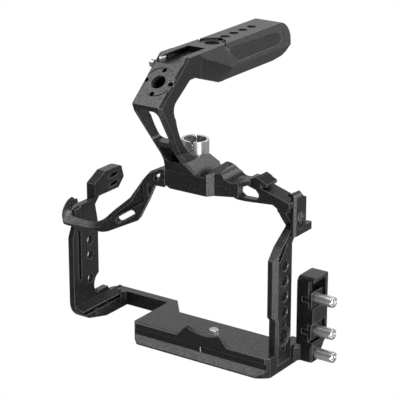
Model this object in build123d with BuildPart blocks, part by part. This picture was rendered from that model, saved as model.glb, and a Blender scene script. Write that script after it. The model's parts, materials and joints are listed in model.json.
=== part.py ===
"""Camera cage: base, grip side, top frame, port side, top handle and cable clamp.

Units are millimetres.  +X runs towards the port side, +Y from the lens side to the
back, +Z up.  The origin is on the underside, on the axis of the camera screw.
"""
import os
from math import atan2, cos, degrees, hypot, radians, sin

from build123d import *

# ---------------------------------------------------------------- fits and threads
RUN_CLEAR = 0.06            # radial clearance of a turning shaft
SLIDE_CLEAR = 0.15          # clearance each side of a sliding piece
SEAT_GAP = 0.10             # small gap under heads that turn
QUARTER_R = 3.175           # 1/4"-20 thread, outer radius
THREE_EIGHTHS_R = 4.7625    # 3/8"-16 thread, outer radius
HOLE_CHAMFER = 0.8          # chamfer at the mouth of a threaded hole
LOCATING_CHAMFER = 0.5      # the same where the edge is close
PIN_HOLE_R = 1.6            # anti-twist pin hole
PIN_PITCH_R = 8.15          # anti-twist pin holes from a 3/8" hole's axis
PIN_HOLE_DEPTH = 3.0
JOIN_R = 1.5                # joining screw, shank radius
JOIN_HEAD_R = 2.6           # joining screw, head radius
JOIN_HEAD_H = 1.8           # joining screw, head height
SHOE_WIDTH = 18.7           # cold shoe, width inside its rails
SHOE_GAP = 12.9             # cold shoe, opening between its rails
SHOE_HEIGHT = 2.1           # cold shoe, height under its rails
JOIN_THREAD = 7.0           # joining screw, length in its thread
JOIN_INSET = 3.6            # joining screws from the edge of their seat
SMALL_R = 1.0               # small countersunk screw, shank radius
SMALL_HEAD_R = 1.7
SMALL_HEAD_H = 1.2

# ---------------------------------------------------------------- base plate
BASE_LEFT = -57.5
BASE_RIGHT = 46.5
BASE_TOP = 13.0
RIM_FRONT = -9.0
RIM_HEIGHT = 3.7            # height of the rim above the waist
WAIST_DEPTH = 1.0           # how far the waist lies behind the rim
DOVE_WIDTH = 38.0           # width over the dovetail's feet
DOVE_FRONT = -12.0
DOVE_BEVEL = 4.0            # 45 degree bevel of the dovetail
DOVE_EDGE = 1.0             # upright edge under the bevel
BASE_END_CHAMFER = 3.0
CORNER_X = 7.5              # chamfered front corner at the port side
CORNER_Y = 4.0
RIM_STEP = 0.8              # depth of the step behind the rim
RIM_WALL = 2.2
LIP_LEFT = -22.2            # raised lens-side lip
LIP_RIGHT = 15.5
LIP_HORN_X = -15.4
LIP_HORN_Z = 20.4
LIP_END_X = 10.2
LIP_END_Z = 19.7
LIP_SAG_Z = 17.5            # lowest point of the lip's hollow
LIP_DEPTH = 3.0
TAB_INNER_X = -41.7         # tab at the back that carries the grip arm
TAB_OUTER_X = -53.9
TAB_BACK = 37.0
LUG_LEFT = 36.0             # lug at the back that carries the cable clamp
LUG_RIGHT = 49.5
LUG_FRONT = 21.0
LUG_BACK = 36.0
LUG_TOP = 10.4
LUG_BOTTOM = 1.6
SCREW_SLOT_R = 7.2          # recess for the camera screw's head
SCREW_SLOT_DEPTH = 5.0
SCREW_NECK_R = 2.45         # plain neck between the head and the thread
RETAINER_R = 4.6
RETAINER_T = 0.8
UNDER_HOLE_X = (-38.0, 28.0)  # threaded holes in the underside
UNDER_HOLE_DEPTH = 8.0
CLIP_CLEAR = 0.4            # round the retaining clip
RETAINER_GAP = 3.0
SCREW_SINK = 0.5            # the screw's head lies this far above the underside
HEAD_SIDE_GAP = 0.5
COIN_SLOT_WIDTH = 2.0
COIN_SLOT_DEPTH = 1.8
SCREW_STAND = 6.5           # thread that stands above the plate
SCREW_TIP_CHAMFER = 0.6

# ---------------------------------------------------------------- grip side
ARM_FRONT = 31.0            # back run of the grip arm
ARM_BOTTOM = 3.5
ARM_TOP = 13.0
ARM_OUTER_X = -105.0
ARM_INNER_X = -95.0
ARM_LOW = 0.8               # underside of the side run
ARM_SIDE_TOP = 11.0
ARM_CORNER_R = 10.0         # rounded lower edge on the outside
ARM_BACK_R = 8.0            # rounded back corner
ARM_NOSE_Y = 13.0           # where the underside starts to rise
ARM_NOSE_Z = 7.2
ARM_HEEL_Y = -5.5           # rounded heel at the front of the wall's foot
ARM_HEEL_Z = 17.5
ARM_HEEL_BULGE = 2.0
WALL_T = 4.0
WALL_FRONT = -13.0
WALL_BACK = 13.3
WALL_FOOT_Z = 14.0
WALL_SHOULDER_Z = 67.1
NOTCH_R = 5.0               # hollow in the wall's back edge
NOTCH_Z = 21.5
SIDE_HOLE_Y = 4.8
SIDE_HOLES_Z = (29.0, 45.6, 55.7)
RAIL_SLOT_Y = -6.5          # upright slot beside the holes
RAIL_SLOT_WIDTH = 3.6
RAIL_SLOT_LOW = 30.0
RAIL_SLOT_HIGH = 66.0
WALL_TOP = 83.0
BROW_LOW = 62.0             # hollow in the wall's front edge under the collar
BROW_HIGH = 71.0
BROW_DEPTH = 3.5
NOTCH_RISE = 4.0
NOTCH_LEAN = 2.0
STOP_FRONT = 13.5           # raised stop behind the notch
STOP_BACK = 22.5
STOP_TOP = 17.6
STOP_SLOPE = 3.5
TONGUE_T = 6.5
TONGUE_FRONT = 7.4
TONGUE_BACK = 39.0
TONGUE_LOW = 84.9
TONGUE_HIGH = 100.0
TONGUE_NECK = 6.0           # chamfered corners of the tongue
TONGUE_NECK_Y = 10.8
TONGUE_TIP = 5.0
TONGUE_RISE_Y = 11.6        # run and drop of the sloping top
TONGUE_DROP = 6.0
RAIL_SLOT_DEPTH = 2.4
SMALL_BLIND = 1.0           # wall left at the end of a small screw
STRAP_SLOT_TURN = 6.0
STRAP_SLOT_LENGTH = 11.0
STRAP_SLOT_WIDTH = 2.6
STRAP_SLOT_Y = 27.0
STRAP_SLOTS_Z = (89.0, 95.0)
INNER_CORNER = 3.0          # inner corner of the grip arm
WALL_SCREWS_Y = (3.2, 15.6)
WALL_SCREW_Z = 7.0

# ---------------------------------------------------------------- collar and arm
COLLAR_FRONT = -22.0
COLLAR_T = 5.0
ARM_START_X = -66.0         # where the slanted arm leaves the collar
ARM_END_X = -30.0
BLOCK_FRONT = -10.0
STRIP_T = 7.0               # thickness of the slanted arm
COLLAR_LOW = 74.8
COLLAR_HIGH = 80.4
COLLAR_BEVEL = 4.9
COLLAR_LAP = 4.0
RISE_X = -78.0              # where the front run starts to rise
RISE_LOW = 2.6
RISE_HIGH = 7.2
ARM_UNDERSIDE = ((20.5, 86.9), (26.5, 99.2), (31.5, 111.2))  # corners as run and height
ARM_UPPERSIDE = ((26.8, 117.9), (23.9, 114.3), (14.6, 100.4))
ARM_HEAD_RUN = 35.5         # where the arm's top reaches the block's height
ARM_POCKET = ((1.4, 85.8), (15.2, 98.0), (23.6, 112.4), (24.6, 99.6), (18.4, 95.8))
ARM_NICHE = ((27.2, 112.0), (29.8, 110.4), (27.2, 103.4))
ARM_EYE = ((30.8, 114.6), (31.6, 117.4), (35.2, 119.4), (34.0, 114.6))
FINGER_SLOT_AT = (12.0, 88.4)
FINGER_SLOT_RUN = 10.4
FINGER_SLOT_TURN = 33.0
COLLAR_SCREWS_Z = (73.6, 79.2)
COLLAR_SCREW_Y = -10.6
EAR_LOW = 71.2              # ear that laps the wall's inner face
EAR_HIGH = 81.6
EAR_BACK = -8.2
COLLAR_EAR_T = 2.6
CHEEK_LOW = 71.2
CHEEK_FRONT = -18.9
HORN_FRONT = -16.0          # broad horn at the collar's outer end
HORN_TIP_Y = -9.0
HORN_BACK = -4.8
HORN_TOP = 88.9
POCKET_DEPTH = 2.2
FINGER_SLOT_R = 2.1

# ---------------------------------------------------------------- top frame
BLOCK_LEFT = -30.0
BLOCK_RIGHT = 1.2
BLOCK_BOTTOM = 110.5
BLOCK_TOP = 122.2
BLOCK_BACK = 16.0
BLOCK_CHAMFER = 2.0
CORNER_RUN = 3.0            # slanted front corner between the block and the lobe
LOBE_LEFT = 0.5             # raised lobe beside the handle's foot
LOBE_RIGHT = 17.8
LOBE_FRONT = -6.0
LOBE_TURN_Y = -0.3          # where the lobe's front meets the neck
LOBE_CREST_Y = 9.5
LOBE_BACK = 16.0
LOBE_TOP = 128.4
LOBE_LEAN = 4.2             # fall of the lobe's top towards its front
LOBE_DROP = 6.4             # fall of the lobe's top towards its back
LOBE_SIDE = 2.5
DOME_LEFT = 3.0
DOME_RIGHT = 4.2
DOME_R_X = 4.2
NECK_X = 21.0
NECK_Z = 120.0
BEAM_WEB_X = 9.0
WEB_BACK = 12.5             # the beam's web is thinner than its shoe
BEAM_FRONT = 8.0
BEAM_BACK = 21.0
BEAM_LOW = 105.7
BEAM_KNEE_X = 37.4
BEAM_KNEE_Z = 107.3
BEAM_END_X = 49.3
BED_T = 3.2                 # thickness of the shoe's bed
JOINT_Z = 103.5             # seat of the beam on the port wall
BEAM_SCREW_X = 44.0
BEAM_SCREW_Z = 109.2
BEAM_SCREWS_Y = (17.5, 23.5)
SMALL_THREAD = 4.0
SHOE_TILT = 16.4            # the shoe's bed slopes down to the port side
SHOE_MID_X = 38.2
SHOE_MID_Z = 113.5
LIP_END_Y = 20.0
LIP_T = 2.0                 # thickness of the shoe's lip at its tip
LIP_RISE = 1.1              # how much thicker it is at its root
FOOT_PIN_X = 9.0            # anti-twist pins in the handle's foot
FOOT_PIN_Y = -5.0
FOOT_PIN_R = 1.6
FOOT_PIN_DEPTH = 3.0

# ---------------------------------------------------------------- port side
PORT_FRONT = -1.2
PORT_FOOT_FRONT = 1.2       # front of the set-back lower part
PORT_SETBACK_Z = 35.0
PORT_BACK = 16.8
PORT_T = 6.1
PORT_TOP_T = 5.3
PORT_FOOT_Z = 5.0
PORT_CHAMFER = 2.7
PORT_FOOT_CHAMFER = 1.5
PORT_HOLE_Y = 9.3
PORT_HOLE_Z = 38.8
PORT_HOLE_PITCH = 10.167
PORT_HOLES = 4
LOCATING_Z = 22.3
PORT_KNEE_Z = 74.5
PORT_STEP_Y = 5.5
PORT_STEP_Z = 82.2
PORT_NECK_Y = 17.0
PORT_NECK_Z = 92.3
PORT_HEAD_Y = 8.5           # front of the wall's head under the beam
PORT_HEAD_BACK = 26.2
SLIT_WIDTH = 2.8
SLIT_LENGTH = 12.4
SLIT_TURN = 50.0
SLIT_DEPTH = 2.4
SLIT_Y = 5.9
SLIT_Z = 78.6
PORT_RING_R = 6.3           # shallow ring round the locating hole
RING_DEPTH = 0.4

# ---------------------------------------------------------------- lock plate
LOCK_T = 3.2
LOCK_LOW = 86.8
LOCK_HIGH = 114.4
LOCK_FRONT = 14.3
LOCK_BACK = 27.0
LOCK_HOOK = 6.8
LOCK_LEDGE = 5.0
LOCK_CHAMFER = 1.3
LOCK_ROUND = 4.4            # rounded back corner at the top
LOCK_CROWN = 4.0            # height of the rounded top
LOCK_TRAVEL = 4.0
LOCK_SCREW_Y = 20.9
LOCK_SCREW_Z = 98.2
LOCK_SCREW_R = 1.5
LOCK_HEAD_R = 3.1
LOCK_HEAD_H = 1.3
LOCK_HEX_R = 1.4
LOCK_HEX_DEPTH = 0.9

# ---------------------------------------------------------------- top handle
HANDLE_X = -18.2            # middle plane of the handle
POST_WIDTH = 22.0
WAIST_WIDTH = 15.6          # the post's narrowest width
WAIST_Z = 138.0
WAIST_TOP = 166.0           # height where the post reaches its full width
FOOT_WIDTH = 26.0
FOOT_TOP_WIDTH = 17.6
FOOT_FRONT_Y = -10.0
FOOT_BACK_Y = 15.6
FOOT_SLOPE_Z = 125.0
FOOT_TOP_Y = 8.6
HANDLE_TOP = 197.8
HEAD_BACK = -3.0            # the head's sides stay upright up to here
HEAD_TOP_WIDTH = 21.0
HEAD_EDGE = 2.7             # height of the head's sloping shoulders
GRIP_TOP_WIDTH = 19.4
GRIP_WIDTH = 25.0
GRIP_UNDER_WIDTH = 14.0
GRIP_WIDE_DEPTH = 15.3      # the grip's widest line below the handle's top
GRIP_UNDER_DEPTH = 24.4     # its underside below the handle's top
GRIP_FRONT = 28.5
GRIP_END = 97.0
ELBOW_Y = -45.3
ELBOW_DEPTH = 24.2          # the elbow below the handle's top
BEND_Y = -23.2              # bend of the post's front
BEND_Z = 138.6
SHIN_Y = -42.2              # post's front just under the elbow
SHIN_DEPTH = 31.2
CROOK_Y = -30.1             # inner corner where the post turns into the grip
CROOK_DEPTH = 24.7
NECK_UNDER_Y = -9.6
NECK_UNDER_DEPTH = 13.9
CALF_Y = -16.9              # middle of the post's back
CALF_Z = 142.4
POST_FOOT_Y = -3.6          # where the post's back meets the foot's top
POST_CHAMFER = 1.8
FRONT_LEAN = 0.5            # the front faces look forwards by at least this share
INSERT_POINTS = (           # y, depth below the top and inward pull of the insert's corners
    (24.4, 3.6, 2.2, -1),
    (81.6, 4.8, 0, -1),
    (85.6, 6.8, -0.7, -0.8),
    (86.4, 10.2, -1, 0),
    (81.6, 12.8, -0.5, 1),
    (35.4, 13.0, 0.8, 1),
)
FACE_TOP_Y = -17.5          # top end of the slanted front face
HANDLE_HOLE_Y = 38.5
HANDLE_HOLE_PITCH = 10.0
HANDLE_HOLES = 4
HANDLE_HOLE_DEPTH = 8.0
HANDLE_LOCATING_Y = 24.5
TOP_RECESS_R = 8.6          # round recess about the top locating hole
TOP_RECESS_DEPTH = 1.2
FACE_HOLE_RUN = 17.4        # front hole from the elbow, along the face
FACE_HOLE_DEPTH = 9.0
FACE_PIN_R = 8.7
GROOVE_R = 10.5
GROOVE_WIDTH = 0.8
GROOVE_DEPTH = 0.6
SHOE_FLOOR_DEPTH = 4.1      # the cold shoe's floor below the handle's top
SHOE_END_Y = 8.0
SHOE_LIP_T = 1.4
SHOE_HOLE_DEPTH = 6.0
RAIL_WINDOW_Y = -13.4       # window in the left rail
RAIL_WINDOW_LENGTH = 8.8
WINDOW_TOP_WIDTH = 16.4     # upper window in the post
WINDOW_LOW_WIDTH = 12.6
WINDOW_ROUND = 3.0
WINDOW_LOW = 146.8
WINDOW_DEPTH = 27.4         # its upper edge below the handle's top
POCKET_LOW = 10.8           # lower pocket, from the foot's front edge
POCKET_HIGH = 26.5
POCKET_WIDTH = 10.6
POCKET_CUT = 5.0
INSERT_DEPTH = 1.6
INSERT_GAP = 0.2

# ---------------------------------------------------------------- mounting knob
KNOB_Y = 6.2
KNOB_R = 8.7
KNOB_BASE = 131.7
KNOB_FLOOR = 1.4
KNOB_WALL = 1.6
KNOB_HEIGHT = 8.2
RING_HEIGHT = 7.0
RING_GAP = 0.15
STUD_R = 3.0
STUD_DEPTH = 9.0            # stud length below the block's top
KNOB_ANGLE = -153.0         # where the ring points at rest
RING_PIN_R = 0.8
RING_PIVOT_V = 3.7          # the ring's pivot from the knob's middle
RING_PIN_REACH = 7.4
EAR_INNER = 3.3
EAR_OUTER = 4.5
EAR_R = 1.6

# ---------------------------------------------------------------- cable clamp
CLAMP_LEFT = 46.2
CLAMP_RIGHT = 58.0
CLAMP_FRONT = 24.0
CLAMP_BACK = 41.5
CLAMP_LOW = 13.0
CLAMP_FLOOR = 15.0
CLAMP_TOP = 57.6
CLAMP_WALL = 2.2
FRONT_WALL = 3.4
FRONT_RIGHT = 54.7
CLAMP_ROUND = 4.0
DIVIDER_LOW = 27.6
DIVIDER_HIGH = 38.0
FOOT_RIGHT = 57.6
FOOT_TOP = 12.0
FOOT_CHAMFER = 1.0
BOSS_LENGTH = 5.0           # threaded bosses of the jaw screws
BOSS_BACK = 33.5
BOSS_HALF = 3.6
THUMB_Y = 30.0
THUMB_R = 3.55
THUMB_LENGTH = 13.0
THUMB_SHANK_R = 1.5
THUMB_BLIND = 1.0
THUMB_SLOT_WIDTH = 1.2
THUMB_SLOT_DEPTH = 1.6
THUMB_CHAMFER = 0.5
JAW_X = 55.3                # inner face of a closed jaw
JAW_T = 1.5
JAW_BACK = 37.0
JAW_Z = (21.8, 43.4)        # axes of the two jaw screws
JAW_HEIGHT = 10.0
JAW_LEG = 4.5               # guide leg of a jaw in the front wall
JAW_LEG_HEIGHT = 3.0
FOOT_SCREW_Z = 6.4
JAW_TRAVEL_GAP = 1.0
PAD_T = 0.9
PAD_WIDTH = 4.0


def side_plane(x):
    """Sketch plane that looks along X: local x is Y, local y is Z."""
    return Plane.YZ.offset(x)


def front_plane(y):
    """Sketch plane that looks along Y: local x is X, local y is Z; extrusion runs to -Y."""
    return Plane.XZ.offset(-y)


def x_bore(y, z, x):
    """Plane for a bore along X whose mouth is at x and faces +X."""
    return Plane(origin=(x, y, z), x_dir=(0, 1, 0), z_dir=(1, 0, 0))


def z_bore(x, y, z):
    """Plane for a bore along Z whose mouth is at z and faces up."""
    return Plane(origin=(x, y, z), x_dir=(1, 0, 0), z_dir=(0, 0, 1))


def screw(plane, shank_r, shank_length, head_r, head_h):
    """Cap screw whose head stands on the plane and whose shank points against its normal."""
    with BuildPart() as cap_screw:
        with BuildSketch(plane):
            Circle(head_r)
        extrude(amount=head_h)
        with BuildSketch(plane):
            Circle(shank_r)
        extrude(amount=-shank_length)
    return cap_screw.part


# ---------------------------------------------------------------- base plate
plate_back = DOVE_FRONT + DOVE_WIDTH - DOVE_BEVEL
waist_front = DOVE_FRONT + DOVE_BEVEL
bevel_top = DOVE_EDGE + DOVE_BEVEL
rim_low = BASE_TOP - RIM_HEIGHT
base_length = BASE_RIGHT - BASE_LEFT
dove_mid_y = DOVE_FRONT + DOVE_WIDTH / 2
port_inner_x = BASE_RIGHT - PORT_T
foot_reach = LUG_RIGHT - BASE_RIGHT
foot_screw_thread = 8.0

with BuildPart() as base_plate:
    with BuildSketch(side_plane(BASE_LEFT)):
        with BuildLine():
            Polyline(
                (DOVE_FRONT, 0),
                (DOVE_FRONT, DOVE_EDGE),
                (waist_front, bevel_top),
                (waist_front, rim_low),
                (RIM_FRONT, rim_low),
                (RIM_FRONT, BASE_TOP),
                (plate_back, BASE_TOP),
                (plate_back, bevel_top),
                (plate_back + DOVE_BEVEL, DOVE_EDGE),
                (plate_back + DOVE_BEVEL, 0),
                close=True,
            )
        make_face()
    extrude(amount=base_length)
    # tab at the back that carries the grip arm
    with BuildSketch(Plane.XY.offset(ARM_BOTTOM)):
        Polygon(
            (BASE_LEFT, waist_front),
            (TAB_INNER_X, plate_back),
            (TAB_OUTER_X, TAB_BACK),
            (BASE_LEFT, TAB_BACK),
            align=None,
        )
    extrude(amount=ARM_TOP - ARM_BOTTOM)
    # lug at the back that carries the cable clamp
    with BuildSketch(Plane.XY.offset(LUG_BOTTOM)):
        Polygon(
            (LUG_LEFT, waist_front),
            (BASE_RIGHT, waist_front),
            (BASE_RIGHT, LUG_FRONT),
            (LUG_RIGHT, LUG_FRONT + foot_reach),
            (LUG_RIGHT, LUG_BACK),
            (LUG_LEFT, LUG_BACK),
            align=None,
        )
    extrude(amount=LUG_TOP - LUG_BOTTOM)
    # raised lip on the lens side
    with BuildSketch(front_plane(RIM_FRONT + LIP_DEPTH)):
        with BuildLine():
            Polyline(
                (LIP_END_X, LIP_END_Z),
                (LIP_RIGHT, BASE_TOP),
                (LIP_RIGHT, rim_low),
                (LIP_LEFT, rim_low),
                (LIP_LEFT, BASE_TOP),
                (LIP_HORN_X, LIP_HORN_Z),
            )
            ThreePointArc(
                (LIP_HORN_X, LIP_HORN_Z),
                ((LIP_HORN_X + LIP_END_X) / 2, LIP_SAG_Z),
                (LIP_END_X, LIP_END_Z),
            )
        make_face()
    extrude(amount=LIP_DEPTH)
    # chamfered front corners
    with BuildSketch(Plane.XY):
        Polygon(
            (BASE_RIGHT - CORNER_X, DOVE_FRONT),
            (BASE_RIGHT, DOVE_FRONT + CORNER_Y),
            (BASE_RIGHT, DOVE_FRONT),
            align=None,
        )
        Polygon(
            (BASE_LEFT + BASE_END_CHAMFER, DOVE_FRONT),
            (BASE_LEFT, DOVE_FRONT + BASE_END_CHAMFER),
            (BASE_LEFT, DOVE_FRONT),
            align=None,
        )
    extrude(amount=BASE_TOP, mode=Mode.SUBTRACT)
    # notch that takes the port wall's foot
    with BuildSketch(Plane.XY.offset(PORT_FOOT_Z)):
        Polygon(
            (port_inner_x, PORT_FOOT_FRONT),
            (BASE_RIGHT, PORT_FOOT_FRONT),
            (BASE_RIGHT, PORT_BACK),
            (port_inner_x, PORT_BACK),
            align=None,
        )
    extrude(amount=BASE_TOP - PORT_FOOT_Z, mode=Mode.SUBTRACT)
    # step behind the rim
    with BuildSketch(Plane.XY.offset(BASE_TOP)):
        Polygon(
            (BASE_LEFT + BASE_END_CHAMFER, RIM_FRONT + RIM_WALL),
            (LIP_LEFT, RIM_FRONT + RIM_WALL),
            (LIP_LEFT, RIM_FRONT + RIM_WALL + RIM_STEP),
            (BASE_LEFT + BASE_END_CHAMFER, RIM_FRONT + RIM_WALL + RIM_STEP),
            align=None,
        )
    extrude(amount=-RIM_STEP, mode=Mode.SUBTRACT)
    # seat, bore and clip recess of the camera screw
    with BuildSketch(Plane.XY):
        Circle(SCREW_SLOT_R)
    extrude(amount=SCREW_SLOT_DEPTH, mode=Mode.SUBTRACT)
    with BuildSketch(Plane.XY):
        Circle(QUARTER_R + RUN_CLEAR)
    extrude(amount=BASE_TOP, mode=Mode.SUBTRACT)
    with BuildSketch(Plane.XY.offset(BASE_TOP)):
        Circle(RETAINER_R + CLIP_CLEAR)
    extrude(amount=-(RETAINER_T + SEAT_GAP), mode=Mode.SUBTRACT)
    # threaded holes in the underside
    for hole_x in UNDER_HOLE_X:
        with BuildSketch(z_bore(hole_x, dove_mid_y, 0)):
            Circle(QUARTER_R)
        extrude(amount=UNDER_HOLE_DEPTH, mode=Mode.SUBTRACT)
    # holes of the screws that hold the port wall and the cable clamp
    for screw_y in (PORT_FOOT_FRONT + JOIN_INSET, PORT_BACK - JOIN_INSET):
        with BuildSketch(z_bore(BASE_RIGHT - PORT_T / 2, screw_y, 0)):
            Circle(JOIN_HEAD_R)
        extrude(amount=JOIN_HEAD_H, mode=Mode.SUBTRACT)
        with BuildSketch(z_bore(BASE_RIGHT - PORT_T / 2, screw_y, 0)):
            Circle(JOIN_R)
        extrude(amount=PORT_FOOT_Z, mode=Mode.SUBTRACT)
    with BuildSketch(x_bore(THUMB_Y, FOOT_SCREW_Z, LUG_RIGHT)):
        Circle(THUMB_SHANK_R + RUN_CLEAR)
    extrude(amount=-(foot_screw_thread + SEAT_GAP), mode=Mode.SUBTRACT)
base_plate.part.label = "base_plate"

with BuildPart() as camera_screw:
    head_top = SCREW_SLOT_DEPTH - SEAT_GAP
    with BuildSketch(Plane.XY.offset(SCREW_SINK)):
        Circle(SCREW_SLOT_R - HEAD_SIDE_GAP)
    extrude(amount=head_top - SCREW_SINK)
    with BuildSketch(Plane.XY.offset(SCREW_SINK)):
        Rectangle(2 * SCREW_SLOT_R, COIN_SLOT_WIDTH)
    extrude(amount=COIN_SLOT_DEPTH, mode=Mode.SUBTRACT)
    with BuildSketch(Plane.XY.offset(head_top)):
        Circle(SCREW_NECK_R)
    extrude(amount=BASE_TOP + SEAT_GAP - head_top)
    with BuildSketch(Plane.XY.offset(BASE_TOP + SEAT_GAP)):
        Circle(QUARTER_R)
    extrude(amount=SCREW_STAND - SEAT_GAP)
    chamfer(camera_screw.edges().group_by(Axis.Z)[-1], SCREW_TIP_CHAMFER)
camera_screw.part.label = "camera_screw"

with BuildPart() as screw_retainer:
    with BuildSketch(Plane.XY.offset(BASE_TOP - RETAINER_T)):
        Circle(RETAINER_R)
        Circle(SCREW_NECK_R, mode=Mode.SUBTRACT)
        with Locations((RETAINER_R, 0)):
            Rectangle(2 * RETAINER_R, RETAINER_GAP, mode=Mode.SUBTRACT)
    extrude(amount=RETAINER_T)
screw_retainer.part.label = "screw_retainer"

with BuildPart() as port_wall_screws:
    for screw_y in (PORT_FOOT_FRONT + JOIN_INSET, PORT_BACK - JOIN_INSET):
        head_plane = Plane(
            origin=(BASE_RIGHT - PORT_T / 2, screw_y, JOIN_HEAD_H), x_dir=(1, 0, 0), z_dir=(0, 0, -1)
        )
        add(screw(head_plane, JOIN_R, PORT_FOOT_Z + JOIN_THREAD - JOIN_HEAD_H, JOIN_HEAD_R, JOIN_HEAD_H))
port_wall_screws.part.label = "port_wall_screws"

# ---------------------------------------------------------------- grip side
wall_inner_x = ARM_OUTER_X + WALL_T
nose_slope = (ARM_NOSE_Z - ARM_LOW) / (ARM_NOSE_Y - WALL_FRONT)
heel_z = ARM_LOW + (ARM_NOSE_Y - ARM_HEEL_Y) * nose_slope


def grip_corner_waste():
    """Material outside the rounded lower edge, the rising nose and the rounded back corner."""
    with BuildPart() as waste:
        with BuildSketch(front_plane(TAB_BACK)):
            with BuildLine():
                Line((ARM_OUTER_X, ARM_LOW + ARM_CORNER_R), (ARM_OUTER_X, ARM_LOW))
                Line((ARM_OUTER_X, ARM_LOW), (ARM_OUTER_X + ARM_CORNER_R, ARM_LOW))
                RadiusArc(
                    (ARM_OUTER_X + ARM_CORNER_R, ARM_LOW),
                    (ARM_OUTER_X, ARM_LOW + ARM_CORNER_R),
                    ARM_CORNER_R,
                )
            make_face()
        extrude(amount=TAB_BACK - WALL_FRONT)
        with BuildSketch(side_plane(ARM_OUTER_X)):
            with BuildLine():
                Polyline(
                    (WALL_FRONT, ARM_HEEL_Z),
                    (WALL_FRONT, ARM_LOW),
                    (ARM_NOSE_Y, ARM_LOW),
                    (ARM_HEEL_Y, heel_z),
                )
                ThreePointArc(
                    (ARM_HEEL_Y, heel_z),
                    (WALL_FRONT + ARM_HEEL_BULGE, (heel_z + ARM_HEEL_Z) / 2 - ARM_HEEL_BULGE / 2),
                    (WALL_FRONT, ARM_HEEL_Z),
                )
            make_face()
        extrude(amount=ARM_INNER_X - ARM_OUTER_X)
        with BuildSketch(Plane.XY):
            with BuildLine():
                Line((ARM_OUTER_X, TAB_BACK - ARM_BACK_R), (ARM_OUTER_X, TAB_BACK))
                Line((ARM_OUTER_X, TAB_BACK), (ARM_OUTER_X + ARM_BACK_R, TAB_BACK))
                RadiusArc(
                    (ARM_OUTER_X + ARM_BACK_R, TAB_BACK),
                    (ARM_OUTER_X, TAB_BACK - ARM_BACK_R),
                    -ARM_BACK_R,
                )
            make_face()
        extrude(amount=WALL_SHOULDER_Z)
    return waste.part


with BuildPart() as grip_arm:
    # side run, with the strip that rises to the wall
    with BuildSketch(front_plane(TAB_BACK)):
        Polygon(
            (wall_inner_x, ARM_LOW),
            (ARM_INNER_X, ARM_LOW),
            (ARM_INNER_X, ARM_SIDE_TOP),
            (wall_inner_x, WALL_FOOT_Z),
            align=None,
        )
    extrude(amount=TAB_BACK - WALL_FRONT)
    # back run to the base's tab
    with BuildSketch(Plane.XY.offset(ARM_BOTTOM)):
        Polygon(
            (wall_inner_x, ARM_FRONT),
            (BASE_LEFT, ARM_FRONT),
            (BASE_LEFT, TAB_BACK),
            (wall_inner_x, TAB_BACK),
            align=None,
        )
        Polygon(
            (ARM_INNER_X, ARM_FRONT - INNER_CORNER),
            (ARM_INNER_X + INNER_CORNER, ARM_FRONT),
            (ARM_INNER_X, ARM_FRONT),
            align=None,
        )
    extrude(amount=ARM_TOP - ARM_BOTTOM)
    add(grip_corner_waste(), mode=Mode.SUBTRACT)
    for screw_y in WALL_SCREWS_Y:
        with BuildSketch(x_bore(screw_y, WALL_SCREW_Z, ARM_INNER_X)):
            Circle(SMALL_HEAD_R)
        extrude(amount=-SMALL_HEAD_H, mode=Mode.SUBTRACT)
        with BuildSketch(x_bore(screw_y, WALL_SCREW_Z, ARM_INNER_X)):
            Circle(SMALL_R)
        extrude(amount=-(ARM_INNER_X - wall_inner_x), mode=Mode.SUBTRACT)
grip_arm.part.label = "grip_arm"

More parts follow.
